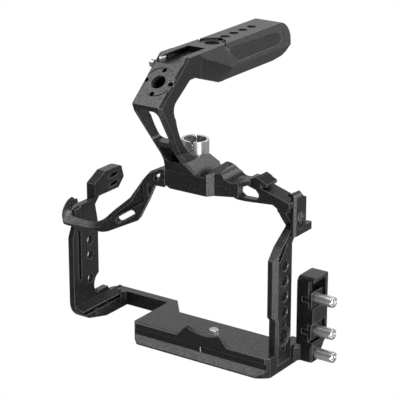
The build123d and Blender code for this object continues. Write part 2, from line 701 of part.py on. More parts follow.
with BuildPart() as grip_wall:
    with BuildSketch(side_plane(ARM_OUTER_X)):
        with BuildLine():
            Polyline(
                (WALL_BACK, NOTCH_Z + NOTCH_R + NOTCH_RISE),
                (WALL_BACK, WALL_SHOULDER_Z),
                (TONGUE_NECK_Y, TONGUE_LOW - TONGUE_NECK),
                (TONGUE_NECK_Y + TONGUE_NECK, TONGUE_LOW),
                (TONGUE_BACK - TONGUE_NECK, TONGUE_LOW),
                (TONGUE_BACK, TONGUE_LOW + TONGUE_NECK),
                (TONGUE_BACK - TONGUE_TIP / 2, TONGUE_HIGH - 1),
                (TONGUE_BACK - TONGUE_NECK, TONGUE_HIGH),
                (TONGUE_FRONT + TONGUE_RISE_Y, TONGUE_HIGH),
                (TONGUE_FRONT, TONGUE_HIGH - TONGUE_DROP),
                (TONGUE_FRONT, WALL_TOP),
                (WALL_FRONT, WALL_TOP),
                (WALL_FRONT, BROW_HIGH),
                (WALL_FRONT + BROW_DEPTH, BROW_HIGH - 1),
                (WALL_FRONT, BROW_LOW),
                (WALL_FRONT, ARM_LOW),
                (TAB_BACK, ARM_LOW),
                (TAB_BACK, ARM_TOP),
                (STOP_BACK + STOP_SLOPE, ARM_TOP),
                (STOP_BACK, STOP_TOP),
                (STOP_FRONT, STOP_TOP),
                (WALL_BACK - NOTCH_LEAN, NOTCH_Z - NOTCH_R),
            )
            ThreePointArc(
                (WALL_BACK - NOTCH_LEAN, NOTCH_Z - NOTCH_R),
                (WALL_BACK - NOTCH_R, NOTCH_Z),
                (WALL_BACK, NOTCH_Z + NOTCH_R + NOTCH_RISE),
            )
        make_face()
    extrude(amount=WALL_T)
    # the tongue is thicker than the wall and has a sloping top
    with BuildSketch(side_plane(ARM_OUTER_X)):
        Polygon(
            (TONGUE_FRONT, TONGUE_LOW),
            (TONGUE_BACK - TONGUE_NECK, TONGUE_LOW),
            (TONGUE_BACK, TONGUE_LOW + TONGUE_NECK),
            (TONGUE_BACK - TONGUE_TIP / 2, TONGUE_HIGH - 1),
            (TONGUE_BACK - TONGUE_NECK, TONGUE_HIGH),
            (TONGUE_FRONT + TONGUE_RISE_Y, TONGUE_HIGH),
            (TONGUE_FRONT, TONGUE_HIGH - TONGUE_DROP),
            align=None,
        )
    extrude(amount=TONGUE_T)
    with BuildSketch(side_plane(ARM_OUTER_X)):
        for slot_z in STRAP_SLOTS_Z:
            with Locations((STRAP_SLOT_Y, slot_z)):
                SlotOverall(STRAP_SLOT_LENGTH, STRAP_SLOT_WIDTH, rotation=STRAP_SLOT_TURN)
    extrude(amount=TONGUE_T, mode=Mode.SUBTRACT)
    # threaded side holes and the slot beside them
    for hole_z in SIDE_HOLES_Z:
        with BuildSketch(x_bore(SIDE_HOLE_Y, hole_z, wall_inner_x)):
            Circle(QUARTER_R)
        extrude(amount=-WALL_T, mode=Mode.SUBTRACT)
    with BuildSketch(side_plane(wall_inner_x)):
        with Locations((RAIL_SLOT_Y, (RAIL_SLOT_LOW + RAIL_SLOT_HIGH) / 2)):
            SlotOverall(RAIL_SLOT_HIGH - RAIL_SLOT_LOW, RAIL_SLOT_WIDTH, rotation=90)
    extrude(amount=-RAIL_SLOT_DEPTH, mode=Mode.SUBTRACT)
    add(grip_corner_waste(), mode=Mode.SUBTRACT)
    for screw_y in WALL_SCREWS_Y:
        with BuildSketch(x_bore(screw_y, WALL_SCREW_Z, wall_inner_x)):
            Circle(SMALL_R)
        extrude(amount=-(WALL_T - SMALL_BLIND), mode=Mode.SUBTRACT)
    for screw_z in COLLAR_SCREWS_Z:
        with BuildSketch(x_bore(COLLAR_SCREW_Y, screw_z, wall_inner_x)):
            Circle(SMALL_R)
        extrude(amount=-(WALL_T - SMALL_BLIND), mode=Mode.SUBTRACT)
grip_wall.part.label = "grip_wall"

with BuildPart() as grip_wall_screws:
    for screw_y in WALL_SCREWS_Y:
        head_plane = x_bore(screw_y, WALL_SCREW_Z, ARM_INNER_X - SMALL_HEAD_H)
        reach = head_plane.origin.X - wall_inner_x + WALL_T - SMALL_BLIND
        add(screw(head_plane, SMALL_R, reach, SMALL_HEAD_R, SMALL_HEAD_H))
grip_wall_screws.part.label = "grip_wall_screws"

# ---------------------------------------------------------------- collar and slanted arm
collar_r = WALL_FRONT - COLLAR_FRONT
arm_run = hypot(ARM_END_X - ARM_START_X, BLOCK_FRONT - COLLAR_FRONT)
arm_turn = degrees(atan2(BLOCK_FRONT - COLLAR_FRONT, ARM_END_X - ARM_START_X))
arm_cos = cos(radians(arm_turn))
arm_sin = sin(radians(arm_turn))
arm_plane = Plane(
    origin=(ARM_START_X, COLLAR_FRONT, 0), x_dir=(arm_cos, arm_sin, 0), z_dir=(arm_sin, -arm_cos, 0)
)


with BuildPart() as grip_collar:
    # sloped finger rest that turns the corner in front of the grip
    with BuildSketch(Plane.XY.offset(COLLAR_LOW)):
        with BuildLine():
            RadiusArc(
                (ARM_OUTER_X, WALL_FRONT), (ARM_OUTER_X + collar_r, COLLAR_FRONT), -collar_r
            )
            Polyline(
                (ARM_OUTER_X + collar_r, COLLAR_FRONT),
                (RISE_X, COLLAR_FRONT),
                (RISE_X, COLLAR_FRONT + STRIP_T),
                (ARM_OUTER_X + collar_r, COLLAR_FRONT + STRIP_T),
                (wall_inner_x, WALL_FRONT),
                (ARM_OUTER_X, WALL_FRONT),
            )
        make_face()
    extrude(amount=COLLAR_HIGH - COLLAR_LOW)
    outer_top = grip_collar.edges().group_by(Axis.Z)[-1].filter_by(
        lambda edge: edge.center().Y < COLLAR_FRONT + collar_r / 2
    )
    chamfer(outer_top.sort_by(Axis.Y)[:2], COLLAR_BEVEL)
    # side cheek with the horn, lapped over the wall's front edge
    with BuildSketch(side_plane(ARM_OUTER_X)):
        Polygon(
            (WALL_FRONT, CHEEK_LOW),
            (CHEEK_FRONT, COLLAR_LOW + 1),
            (CHEEK_FRONT, COLLAR_HIGH - 1),
            (HORN_FRONT, WALL_TOP + 0.5),
            (HORN_TIP_Y - 3.2, HORN_TOP - 1.4),
            (HORN_TIP_Y, HORN_TOP),
            (HORN_TIP_Y + 1.4, HORN_TOP - 0.7),
            (HORN_TIP_Y + 2.1, HORN_TOP - 3.1),
            (HORN_BACK, WALL_TOP),
            (WALL_FRONT, WALL_TOP),
            align=None,
        )
    extrude(amount=WALL_T)
    # front run that rises to the slanted arm
    with BuildSketch(front_plane(COLLAR_FRONT + STRIP_T)):
        Polygon(
            (RISE_X, COLLAR_LOW),
            (ARM_START_X, COLLAR_LOW + RISE_LOW),
            (ARM_START_X, COLLAR_HIGH + RISE_HIGH),
            (RISE_X + 4, COLLAR_HIGH + 1.5),
            (RISE_X, COLLAR_HIGH),
            align=None,
        )
    extrude(amount=STRIP_T)
    # slanted arm that climbs to the handle block
    with BuildSketch(arm_plane):
        Polygon(
            (0, COLLAR_LOW + RISE_LOW),
            *ARM_UNDERSIDE,
            (arm_run, BLOCK_BOTTOM),
            (arm_run, BLOCK_TOP),
            (ARM_HEAD_RUN, BLOCK_TOP),
            *ARM_UPPERSIDE,
            (0, COLLAR_HIGH + RISE_HIGH),
            align=None,
        )
    extrude(amount=-STRIP_T)
    with BuildSketch(arm_plane):
        Polygon(*ARM_POCKET, align=None)
        Polygon(*ARM_NICHE, align=None)
    extrude(amount=-POCKET_DEPTH, mode=Mode.SUBTRACT)
    with BuildSketch(arm_plane):
        with Locations(FINGER_SLOT_AT):
            SlotCenterToCenter(FINGER_SLOT_RUN, 2 * FINGER_SLOT_R, rotation=FINGER_SLOT_TURN)
        Polygon(*ARM_EYE, align=None)
    extrude(amount=-STRIP_T, mode=Mode.SUBTRACT)
    with BuildSketch(side_plane(ARM_END_X)):
        Rectangle(4 * STRIP_T, 2 * BLOCK_TOP)
    extrude(amount=STRIP_T, mode=Mode.SUBTRACT)
    # ear with the screws that hold the collar to the wall
    with BuildSketch(Plane.XY.offset(EAR_LOW)):
        Polygon(
            (wall_inner_x, EAR_BACK),
            (wall_inner_x + COLLAR_EAR_T, EAR_BACK - 1),
            (wall_inner_x + COLLAR_EAR_T, CHEEK_FRONT),
            (wall_inner_x, CHEEK_FRONT),
            align=None,
        )
    extrude(amount=EAR_HIGH - EAR_LOW)
    for screw_z in COLLAR_SCREWS_Z:
        with BuildSketch(x_bore(COLLAR_SCREW_Y, screw_z, wall_inner_x)):
            Circle(SMALL_R)
        extrude(amount=COLLAR_EAR_T, mode=Mode.SUBTRACT)
        with BuildSketch(x_bore(COLLAR_SCREW_Y, screw_z, wall_inner_x + COLLAR_EAR_T)):
            Circle(SMALL_HEAD_R)
        extrude(amount=-SMALL_HEAD_H, mode=Mode.SUBTRACT)
grip_collar.part.label = "grip_collar"

with BuildPart() as collar_screws:
    for screw_z in COLLAR_SCREWS_Z:
        head_plane = x_bore(COLLAR_SCREW_Y, screw_z, wall_inner_x + COLLAR_EAR_T - SMALL_HEAD_H)
        reach = head_plane.origin.X - wall_inner_x + WALL_T - SMALL_BLIND
        add(screw(head_plane, SMALL_R, reach, SMALL_HEAD_R, SMALL_HEAD_H))
collar_screws.part.label = "collar_screws"

# ---------------------------------------------------------------- top frame
shoe_half = SHOE_WIDTH / 2
gap_half = SHOE_GAP / 2
tilt_cos = cos(radians(SHOE_TILT))
tilt_sin = sin(radians(SHOE_TILT))
port_top_x = BASE_RIGHT - PORT_TOP_T


def shoe_plane(y):
    """Plane across the tilted shoe at y: local x along the bed, local y off the bed."""
    return Plane(
        origin=(SHOE_MID_X, y, SHOE_MID_Z), x_dir=(tilt_cos, 0, -tilt_sin), z_dir=(0, -1, 0)
    )


def bed_z(x):
    """Height of the shoe's bed at x."""
    return SHOE_MID_Z - (x - SHOE_MID_X) * tilt_sin / tilt_cos


with BuildPart() as top_frame:
    # raised lobe beside the handle's foot
    with BuildSketch(front_plane(LOBE_BACK)):
        with BuildLine():
            Polyline(
                (LOBE_RIGHT, NECK_Z),
                (NECK_X, NECK_Z),
                (NECK_X, BLOCK_BOTTOM),
                (LOBE_LEFT, BLOCK_BOTTOM),
                (LOBE_LEFT, LOBE_TOP - LOBE_SIDE),
                (DOME_LEFT, LOBE_TOP),
                (DOME_RIGHT, LOBE_TOP),
            )
            TangentArc((DOME_RIGHT, LOBE_TOP), (DOME_RIGHT + DOME_R_X, LOBE_TOP - 3.4), tangent=(1, 0))
            ThreePointArc(
                (DOME_RIGHT + DOME_R_X, LOBE_TOP - 3.4),
                (DOME_RIGHT + DOME_R_X + 1.8, NECK_Z + 1.6),
                (LOBE_RIGHT, NECK_Z),
            )
        make_face()
    extrude(amount=LOBE_BACK - BLOCK_FRONT)
    with BuildSketch(Plane.XY.offset(BLOCK_BOTTOM)):
        Polygon(
            (LOBE_LEFT, BLOCK_FRONT),
            (BLOCK_RIGHT, BLOCK_FRONT),
            (BLOCK_RIGHT + CORNER_RUN, LOBE_FRONT),
            (LOBE_RIGHT, LOBE_TURN_Y),
            (NECK_X, BEAM_FRONT),
            (NECK_X, LOBE_BACK),
            (LOBE_LEFT, LOBE_BACK),
            align=None,
        )
    extrude(amount=LOBE_TOP - BLOCK_BOTTOM, mode=Mode.INTERSECT)
    with BuildSketch(side_plane(LOBE_LEFT)):
        Polygon(
            (BLOCK_FRONT, LOBE_TOP - LOBE_LEAN),
            (LOBE_CREST_Y, LOBE_TOP),
            (LOBE_BACK, LOBE_TOP - LOBE_DROP),
            (LOBE_BACK, LOBE_TOP + 1),
            (BLOCK_FRONT, LOBE_TOP + 1),
            align=None,
        )
    extrude(amount=NECK_X - LOBE_LEFT, mode=Mode.SUBTRACT)
    # centre block
    with BuildSketch(front_plane(BLOCK_BACK)):
        Polygon(
            (BLOCK_LEFT, BLOCK_BOTTOM + BLOCK_CHAMFER),
            (BLOCK_LEFT + 2 * BLOCK_CHAMFER, BLOCK_BOTTOM),
            (BLOCK_RIGHT, BLOCK_BOTTOM),
            (BLOCK_RIGHT, BLOCK_TOP),
            (BLOCK_LEFT, BLOCK_TOP),
            align=None,
        )
    extrude(amount=BLOCK_BACK - BLOCK_FRONT)
    # web of the beam, with its window
    with BuildSketch(front_plane(WEB_BACK)):
        Polygon(
            (BEAM_WEB_X, BEAM_LOW + 0.8),
            (BEAM_WEB_X + 2.8, BEAM_LOW),
            (BEAM_WEB_X + 9, BEAM_LOW),
            (BEAM_KNEE_X, BEAM_KNEE_Z),
            (BEAM_KNEE_X + 3.2, BEAM_KNEE_Z - 1.8),
            (port_top_x, JOINT_Z),
            (BASE_RIGHT, JOINT_Z),
            (BEAM_END_X, bed_z(BEAM_END_X) - BED_T),
            (BEAM_END_X, bed_z(BEAM_END_X)),
            (SHOE_MID_X - shoe_half, bed_z(SHOE_MID_X - shoe_half)),
            (SHOE_MID_X - shoe_half, NECK_Z + 1),
            (SHOE_MID_X - shoe_half - 4, NECK_Z + 2.8),
            (NECK_X - 1, NECK_Z),
            (BEAM_WEB_X, NECK_Z),
            align=None,
        )
        Polygon(
            (BEAM_WEB_X + 4.3, BEAM_LOW + 7.6),
            (BEAM_WEB_X + 5.5, BEAM_LOW + 9.7),
            (BEAM_WEB_X + 8.5, BEAM_LOW + 10.7),
            (BEAM_WEB_X + 16.4, BEAM_LOW + 8.7),
            (BEAM_WEB_X + 18.4, BEAM_LOW + 6.3),
            (BEAM_WEB_X + 18.2, BEAM_LOW + 3.9),
            (BEAM_WEB_X + 16.6, BEAM_LOW + 2.5),
            (BEAM_WEB_X + 7.5, BEAM_LOW + 2.3),
            (BEAM_WEB_X + 4.6, BEAM_LOW + 4.3),
            align=None,
            mode=Mode.SUBTRACT,
        )
    extrude(amount=WEB_BACK - BEAM_FRONT)
    # neck, bed of the shoe and the head over the port wall
    with BuildSketch(front_plane(BEAM_BACK)):
        Polygon(
            (LOBE_RIGHT, NECK_Z - BED_T),
            (SHOE_MID_X - shoe_half, bed_z(SHOE_MID_X - shoe_half) - BED_T),
            (port_top_x, bed_z(port_top_x) - BED_T),
            (port_top_x, JOINT_Z),
            (BASE_RIGHT, JOINT_Z),
            (BASE_RIGHT, bed_z(BASE_RIGHT)),
            (SHOE_MID_X - shoe_half, bed_z(SHOE_MID_X - shoe_half)),
            (SHOE_MID_X - shoe_half, NECK_Z + 1),
            (SHOE_MID_X - shoe_half - 4, NECK_Z + 2.8),
            (NECK_X, NECK_Z),
            (LOBE_RIGHT, NECK_Z),
            align=None,
        )
    extrude(amount=BEAM_BACK - BEAM_FRONT)
    with BuildSketch(Plane.XY.offset(JOINT_Z)):
        Polygon(
            (port_top_x, BEAM_FRONT),
            (BASE_RIGHT, BEAM_FRONT),
            (BASE_RIGHT, PORT_HEAD_BACK),
            (port_top_x, PORT_HEAD_BACK),
            align=None,
        )
    extrude(amount=bed_z(BASE_RIGHT) - JOINT_Z)
    # lip that overhangs the bed
    with BuildSketch(shoe_plane(LIP_END_Y)):
        Polygon(
            (-shoe_half - 0.5, SHOE_HEIGHT),
            (-gap_half, SHOE_HEIGHT),
            (-gap_half, SHOE_HEIGHT + LIP_T),
            (-shoe_half - 4.6, SHOE_HEIGHT + LIP_T + LIP_RISE),
            (-shoe_half - 4.6, SHOE_HEIGHT - 1),
            align=None,
        )
    extrude(amount=LIP_END_Y - BEAM_FRONT)
    # threaded bore and pin holes for the handle
    with BuildSketch(z_bore(HANDLE_X, KNOB_Y, BLOCK_TOP)):
        Circle(STUD_R + RUN_CLEAR)
    extrude(amount=BLOCK_BOTTOM - BLOCK_TOP, mode=Mode.SUBTRACT)
    for side in (-1, 1):
        with BuildSketch(z_bore(HANDLE_X + side * FOOT_PIN_X, FOOT_PIN_Y, BLOCK_TOP)):
            Circle(FOOT_PIN_R)
        extrude(amount=-FOOT_PIN_DEPTH, mode=Mode.SUBTRACT)
    # bores of the screws into the port wall
    for screw_y in BEAM_SCREWS_Y:
        with BuildSketch(z_bore(BEAM_SCREW_X, screw_y, JOINT_Z)):
            Circle(SMALL_R)
        extrude(amount=SHOE_MID_Z - JOINT_Z, mode=Mode.SUBTRACT)
        with BuildSketch(z_bore(BEAM_SCREW_X, screw_y, BEAM_SCREW_Z)):
            Circle(SMALL_HEAD_R)
        extrude(amount=SHOE_MID_Z - BEAM_SCREW_Z, mode=Mode.SUBTRACT)
top_frame.part.label = "top_frame"

with BuildPart() as beam_screws:
    for screw_y in BEAM_SCREWS_Y:
        head_plane = z_bore(BEAM_SCREW_X, screw_y, BEAM_SCREW_Z)
        add(screw(head_plane, SMALL_R, BEAM_SCREW_Z - JOINT_Z + SMALL_THREAD, SMALL_HEAD_R, SMALL_HEAD_H))
beam_screws.part.label = "beam_screws"

# ---------------------------------------------------------------- port side
with BuildPart() as port_wall:
    with BuildSketch(side_plane(port_inner_x)):
        Polygon(
            (PORT_FRONT, PORT_FOOT_Z),
            (PORT_FRONT, PORT_KNEE_Z),
            (PORT_STEP_Y, PORT_STEP_Z),
            (PORT_STEP_Y + 3.5, PORT_STEP_Z + 2.3),
            (PORT_NECK_Y, PORT_NECK_Z),
            (PORT_HEAD_Y, JOINT_Z),
            (PORT_HEAD_BACK, JOINT_Z),
            (PORT_HEAD_BACK, PORT_NECK_Z),
            (PORT_BACK, PORT_STEP_Z),
            (PORT_BACK, PORT_FOOT_Z),
            align=None,
        )
    extrude(amount=PORT_T)
    with BuildSketch(front_plane(PORT_HEAD_BACK)):
        Polygon(
            (port_inner_x, PORT_STEP_Z + 2.3),
            (port_inner_x + 1.2, PORT_NECK_Z),
            (port_top_x, PORT_NECK_Z + 4),
            (port_top_x, JOINT_Z),
            (port_inner_x, JOINT_Z),
            align=None,
        )
    extrude(amount=PORT_HEAD_BACK - PORT_FRONT, mode=Mode.SUBTRACT)
    # set-back lower part, and the chamfer down the front
    with BuildSketch(side_plane(port_inner_x)):
        Polygon(
            (PORT_FRONT, PORT_FOOT_Z),
            (PORT_FOOT_FRONT, PORT_FOOT_Z),
            (PORT_FOOT_FRONT, PORT_SETBACK_Z),
            (PORT_FRONT, PORT_SETBACK_Z + PORT_FOOT_FRONT - PORT_FRONT),
            align=None,
        )
    extrude(amount=PORT_T, mode=Mode.SUBTRACT)
    for front, size, low, high in (
        (PORT_FOOT_FRONT, PORT_FOOT_CHAMFER, PORT_FOOT_Z, PORT_SETBACK_Z),
        (PORT_FRONT, PORT_CHAMFER, PORT_SETBACK_Z, PORT_STEP_Z),
    ):
        with BuildSketch(Plane.XY.offset(low)):
            Polygon(
                (BASE_RIGHT - size, front),
                (BASE_RIGHT, front),
                (BASE_RIGHT, front + size),
                align=None,
            )
        extrude(amount=high - low, mode=Mode.SUBTRACT)
    # threaded holes and the locating hole with its pin holes
    for hole in range(PORT_HOLES):
        with BuildSketch(x_bore(PORT_HOLE_Y, PORT_HOLE_Z + hole * PORT_HOLE_PITCH, BASE_RIGHT)):
            Circle(QUARTER_R)
        extrude(amount=-PORT_T, mode=Mode.SUBTRACT)
    with BuildSketch(x_bore(PORT_HOLE_Y, LOCATING_Z, BASE_RIGHT)):
        Circle(PORT_RING_R)
    extrude(amount=-RING_DEPTH, mode=Mode.SUBTRACT)
    with BuildSketch(x_bore(PORT_HOLE_Y, LOCATING_Z, BASE_RIGHT)):
        Circle(THREE_EIGHTHS_R)
    extrude(amount=-PORT_T, mode=Mode.SUBTRACT)
    for side in (-1, 1):
        with BuildSketch(x_bore(PORT_HOLE_Y, LOCATING_Z + side * PIN_PITCH_R, BASE_RIGHT)):
            Circle(PIN_HOLE_R)
        extrude(amount=-PIN_HOLE_DEPTH, mode=Mode.SUBTRACT)
    mouths = port_wall.edges().filter_by(GeomType.CIRCLE).filter_by(
        lambda edge: PIN_HOLE_R < edge.radius < THREE_EIGHTHS_R and edge.center().X > BASE_RIGHT - RUN_CLEAR
    )
    chamfer(mouths, LOCATING_CHAMFER)
    # slanted slit above the holes
    with BuildSketch(side_plane(BASE_RIGHT)):
        with Locations((SLIT_Y, SLIT_Z)):
            SlotOverall(SLIT_LENGTH, SLIT_WIDTH, rotation=SLIT_TURN)
    extrude(amount=-SLIT_DEPTH, mode=Mode.SUBTRACT)
    # bores of the joining screws and of the lock plate's screw
    for screw_y in (PORT_FOOT_FRONT + JOIN_INSET, PORT_BACK - JOIN_INSET):
        with BuildSketch(z_bore(BASE_RIGHT - PORT_T / 2, screw_y, PORT_FOOT_Z)):
            Circle(JOIN_R)
        extrude(amount=JOIN_THREAD, mode=Mode.SUBTRACT)
    for screw_y in BEAM_SCREWS_Y:
        with BuildSketch(z_bore(BEAM_SCREW_X, screw_y, JOINT_Z)):
            Circle(SMALL_R)
        extrude(amount=-SMALL_THREAD, mode=Mode.SUBTRACT)
    with BuildSketch(x_bore(LOCK_SCREW_Y, LOCK_SCREW_Z, BASE_RIGHT)):
        Circle(LOCK_SCREW_R + RUN_CLEAR)
    extrude(amount=-PORT_TOP_T, mode=Mode.SUBTRACT)
port_wall.part.label = "port_wall"

# ---------------------------------------------------------------- lock plate
lock_x = BASE_RIGHT + SLIDE_CLEAR

with BuildPart() as lock_plate:
    with BuildSketch(side_plane(lock_x)):
        with BuildLine():
            Polyline(
                (LOCK_BACK - LOCK_ROUND, LOCK_HIGH),
                (LOCK_FRONT, LOCK_HIGH),
                (LOCK_FRONT, LOCK_LOW),
                (LOCK_BACK + LOCK_HOOK, LOCK_LOW),
                (LOCK_BACK + LOCK_HOOK, LOCK_LOW + LOCK_LEDGE),
                (LOCK_BACK, LOCK_LOW + LOCK_LEDGE),
                (LOCK_BACK, LOCK_HIGH - LOCK_ROUND),
            )
            RadiusArc(
                (LOCK_BACK, LOCK_HIGH - LOCK_ROUND), (LOCK_BACK - LOCK_ROUND, LOCK_HIGH), LOCK_ROUND
            )
        make_face()
    extrude(amount=LOCK_T)
    front_edge = lock_plate.edges().filter_by(Axis.Z).filter_by(
        lambda edge: edge.center().Y < LOCK_FRONT + 0.1 and edge.center().X > lock_x + 0.1
    )
    chamfer(front_edge, LOCK_CHAMFER)
    # rounded top
    with BuildSketch(front_plane(LOCK_BACK + LOCK_HOOK)):
        with BuildLine():
            Line((lock_x + 0.8, LOCK_HIGH), (lock_x + LOCK_T, LOCK_HIGH))
            Line((lock_x + LOCK_T, LOCK_HIGH), (lock_x + LOCK_T, LOCK_HIGH - LOCK_CROWN))
            TangentArc(
                (lock_x + LOCK_T, LOCK_HIGH - LOCK_CROWN),
                (lock_x + 0.8, LOCK_HIGH),
                tangent=(0, 1),
            )
        make_face()
    extrude(amount=LOCK_BACK + LOCK_HOOK - LOCK_FRONT, mode=Mode.SUBTRACT)
    # slot for the screw's shank and the wider channel for its head
    with BuildSketch(side_plane(lock_x)):
        with Locations((LOCK_SCREW_Y, LOCK_SCREW_Z - LOCK_TRAVEL / 2)):
            SlotCenterToCenter(LOCK_TRAVEL, 2 * (LOCK_SCREW_R + CLIP_CLEAR), rotation=90)
    extrude(amount=LOCK_T, mode=Mode.SUBTRACT)
    with BuildSketch(side_plane(lock_x + LOCK_T / 2)):
        with Locations((LOCK_SCREW_Y, LOCK_SCREW_Z - LOCK_TRAVEL / 2)):
            SlotCenterToCenter(LOCK_TRAVEL, 2 * (LOCK_HEAD_R + CLIP_CLEAR), rotation=90)
    extrude(amount=LOCK_T, mode=Mode.SUBTRACT)
lock_plate.part.label = "lock_plate"

with BuildPart() as lock_screw:
    head_plane = x_bore(LOCK_SCREW_Y, LOCK_SCREW_Z, lock_x + LOCK_T / 2 + SEAT_GAP)
    shank = head_plane.origin.X - BASE_RIGHT + PORT_TOP_T
    add(screw(head_plane, LOCK_SCREW_R, shank, LOCK_HEAD_R, LOCK_HEAD_H))
    with BuildSketch(x_bore(LOCK_SCREW_Y, LOCK_SCREW_Z, head_plane.origin.X + LOCK_HEAD_H)):
        RegularPolygon(LOCK_HEX_R, 6)
    extrude(amount=-LOCK_HEX_DEPTH, mode=Mode.SUBTRACT)
lock_screw.part.label = "lock_screw"

# ---------------------------------------------------------------- top handle
elbow_z = HANDLE_TOP - ELBOW_DEPTH
shin_z = HANDLE_TOP - SHIN_DEPTH
crook_z = HANDLE_TOP - CROOK_DEPTH
neck_under_z = HANDLE_TOP - NECK_UNDER_DEPTH
grip_wide_z = HANDLE_TOP - GRIP_WIDE_DEPTH
grip_under_z = HANDLE_TOP - GRIP_UNDER_DEPTH
shoe_floor_z = HANDLE_TOP - SHOE_FLOOR_DEPTH
face_run = hypot(FACE_TOP_Y - ELBOW_Y, ELBOW_DEPTH)
face_cos = (FACE_TOP_Y - ELBOW_Y) / face_run
face_sin = ELBOW_DEPTH / face_run


def post_plane():
    """Plane on the post's lower front, local y running up from the foot, normal pointing out."""
    return Plane(
        origin=(HANDLE_X, FOOT_FRONT_Y, BLOCK_TOP),
        x_dir=(1, 0, 0),
        z_dir=(0, BLOCK_TOP - BEND_Z, BEND_Y - FOOT_FRONT_Y),
    )


def face_plane(run):
    """Plane on the handle's slanted front face, at a run above the elbow."""
    return Plane(
        origin=(HANDLE_X, ELBOW_Y + run * face_cos, elbow_z + run * face_sin),
        x_dir=(1, 0, 0),
        z_dir=(0, -face_sin, face_cos),
    )


def handle_side(width):
    """The handle's side outline, drawn out to a width about its middle plane."""
    with BuildPart() as slab:
        with BuildSketch(side_plane(HANDLE_X)):
            with BuildLine():
                Polyline(
                    (FOOT_TOP_Y, KNOB_BASE),
                    (FOOT_BACK_Y, FOOT_SLOPE_Z),
                    (FOOT_BACK_Y, BLOCK_TOP),
                    (FOOT_FRONT_Y, BLOCK_TOP),
                    (BEND_Y, BEND_Z),
                    (SHIN_Y, shin_z),
                )
                ThreePointArc(
                    (SHIN_Y, shin_z),
                    (ELBOW_Y + 0.9, elbow_z - 3.6),
                    (ELBOW_Y, elbow_z),
                )
                Polyline(
                    (ELBOW_Y, elbow_z),
                    (FACE_TOP_Y, HANDLE_TOP),
                    (GRIP_END - 9, HANDLE_TOP),
                )
                ThreePointArc(
                    (GRIP_END - 9, HANDLE_TOP),
                    (GRIP_END - 2.6, HANDLE_TOP - 3.4),
                    (GRIP_END, HANDLE_TOP - 9.8),
                )
                Polyline(
                    (GRIP_END, HANDLE_TOP - 9.8),
                    (GRIP_END - 2, grip_under_z + 4),
                    (GRIP_END - 5, grip_under_z + 1.4),
                    (GRIP_END - 13.4, grip_under_z),
                    (GRIP_FRONT - 3.7, grip_under_z),
                    (GRIP_FRONT - 9.2, grip_under_z + 0.6),
                    (GRIP_FRONT - 19, grip_under_z + 4.3),
                    (NECK_UNDER_Y, neck_under_z),
                    (NECK_UNDER_Y - 5.3, neck_under_z),
                    (CROOK_Y, crook_z),
                )
                ThreePointArc((CROOK_Y, crook_z), (CROOK_Y - 1.5, crook_z - 5), (CROOK_Y + 1, crook_z - 10.3))
                ThreePointArc((CROOK_Y + 1, crook_z - 10.3), (CALF_Y, CALF_Z), (POST_FOOT_Y, KNOB_BASE))
                Line((POST_FOOT_Y, KNOB_BASE), (FOOT_TOP_Y, KNOB_BASE))
            make_face()
        extrude(amount=width / 2, both=True)
    return slab.part


def grip_section(top_width, wide_width, wide_z, under_width):
    """Six-sided section of the grip as a list of points."""
    return [
        (HANDLE_X - top_width / 2, HANDLE_TOP),
        (HANDLE_X + top_width / 2, HANDLE_TOP),
        (HANDLE_X + wide_width / 2, wide_z),
        (HANDLE_X + under_width / 2, grip_under_z),
        (HANDLE_X - under_width / 2, grip_under_z),
        (HANDLE_X - wide_width / 2, wide_z),
    ]


def band_plane(side):
    """Plane on the grip's upper side band; local y runs up the band, origin at the top edge."""
    lean = atan2((GRIP_WIDTH - GRIP_TOP_WIDTH) / 2, GRIP_WIDE_DEPTH)
    return Plane(
        origin=(HANDLE_X + side * GRIP_TOP_WIDTH / 2, 0, HANDLE_TOP),
        x_dir=(0, side, 0),
        z_dir=(side * cos(lean), 0, sin(lean)),
    )


def insert_outline(side, gap):
    """Outline of a grip insert on its band, pulled in by a gap."""
    lean = atan2((GRIP_WIDTH - GRIP_TOP_WIDTH) / 2, GRIP_WIDE_DEPTH)
    return [
        (side * (y + gap * pull_y), (gap * pull_z - depth) / cos(lean))
        for y, depth, pull_y, pull_z in INSERT_POINTS
    ]


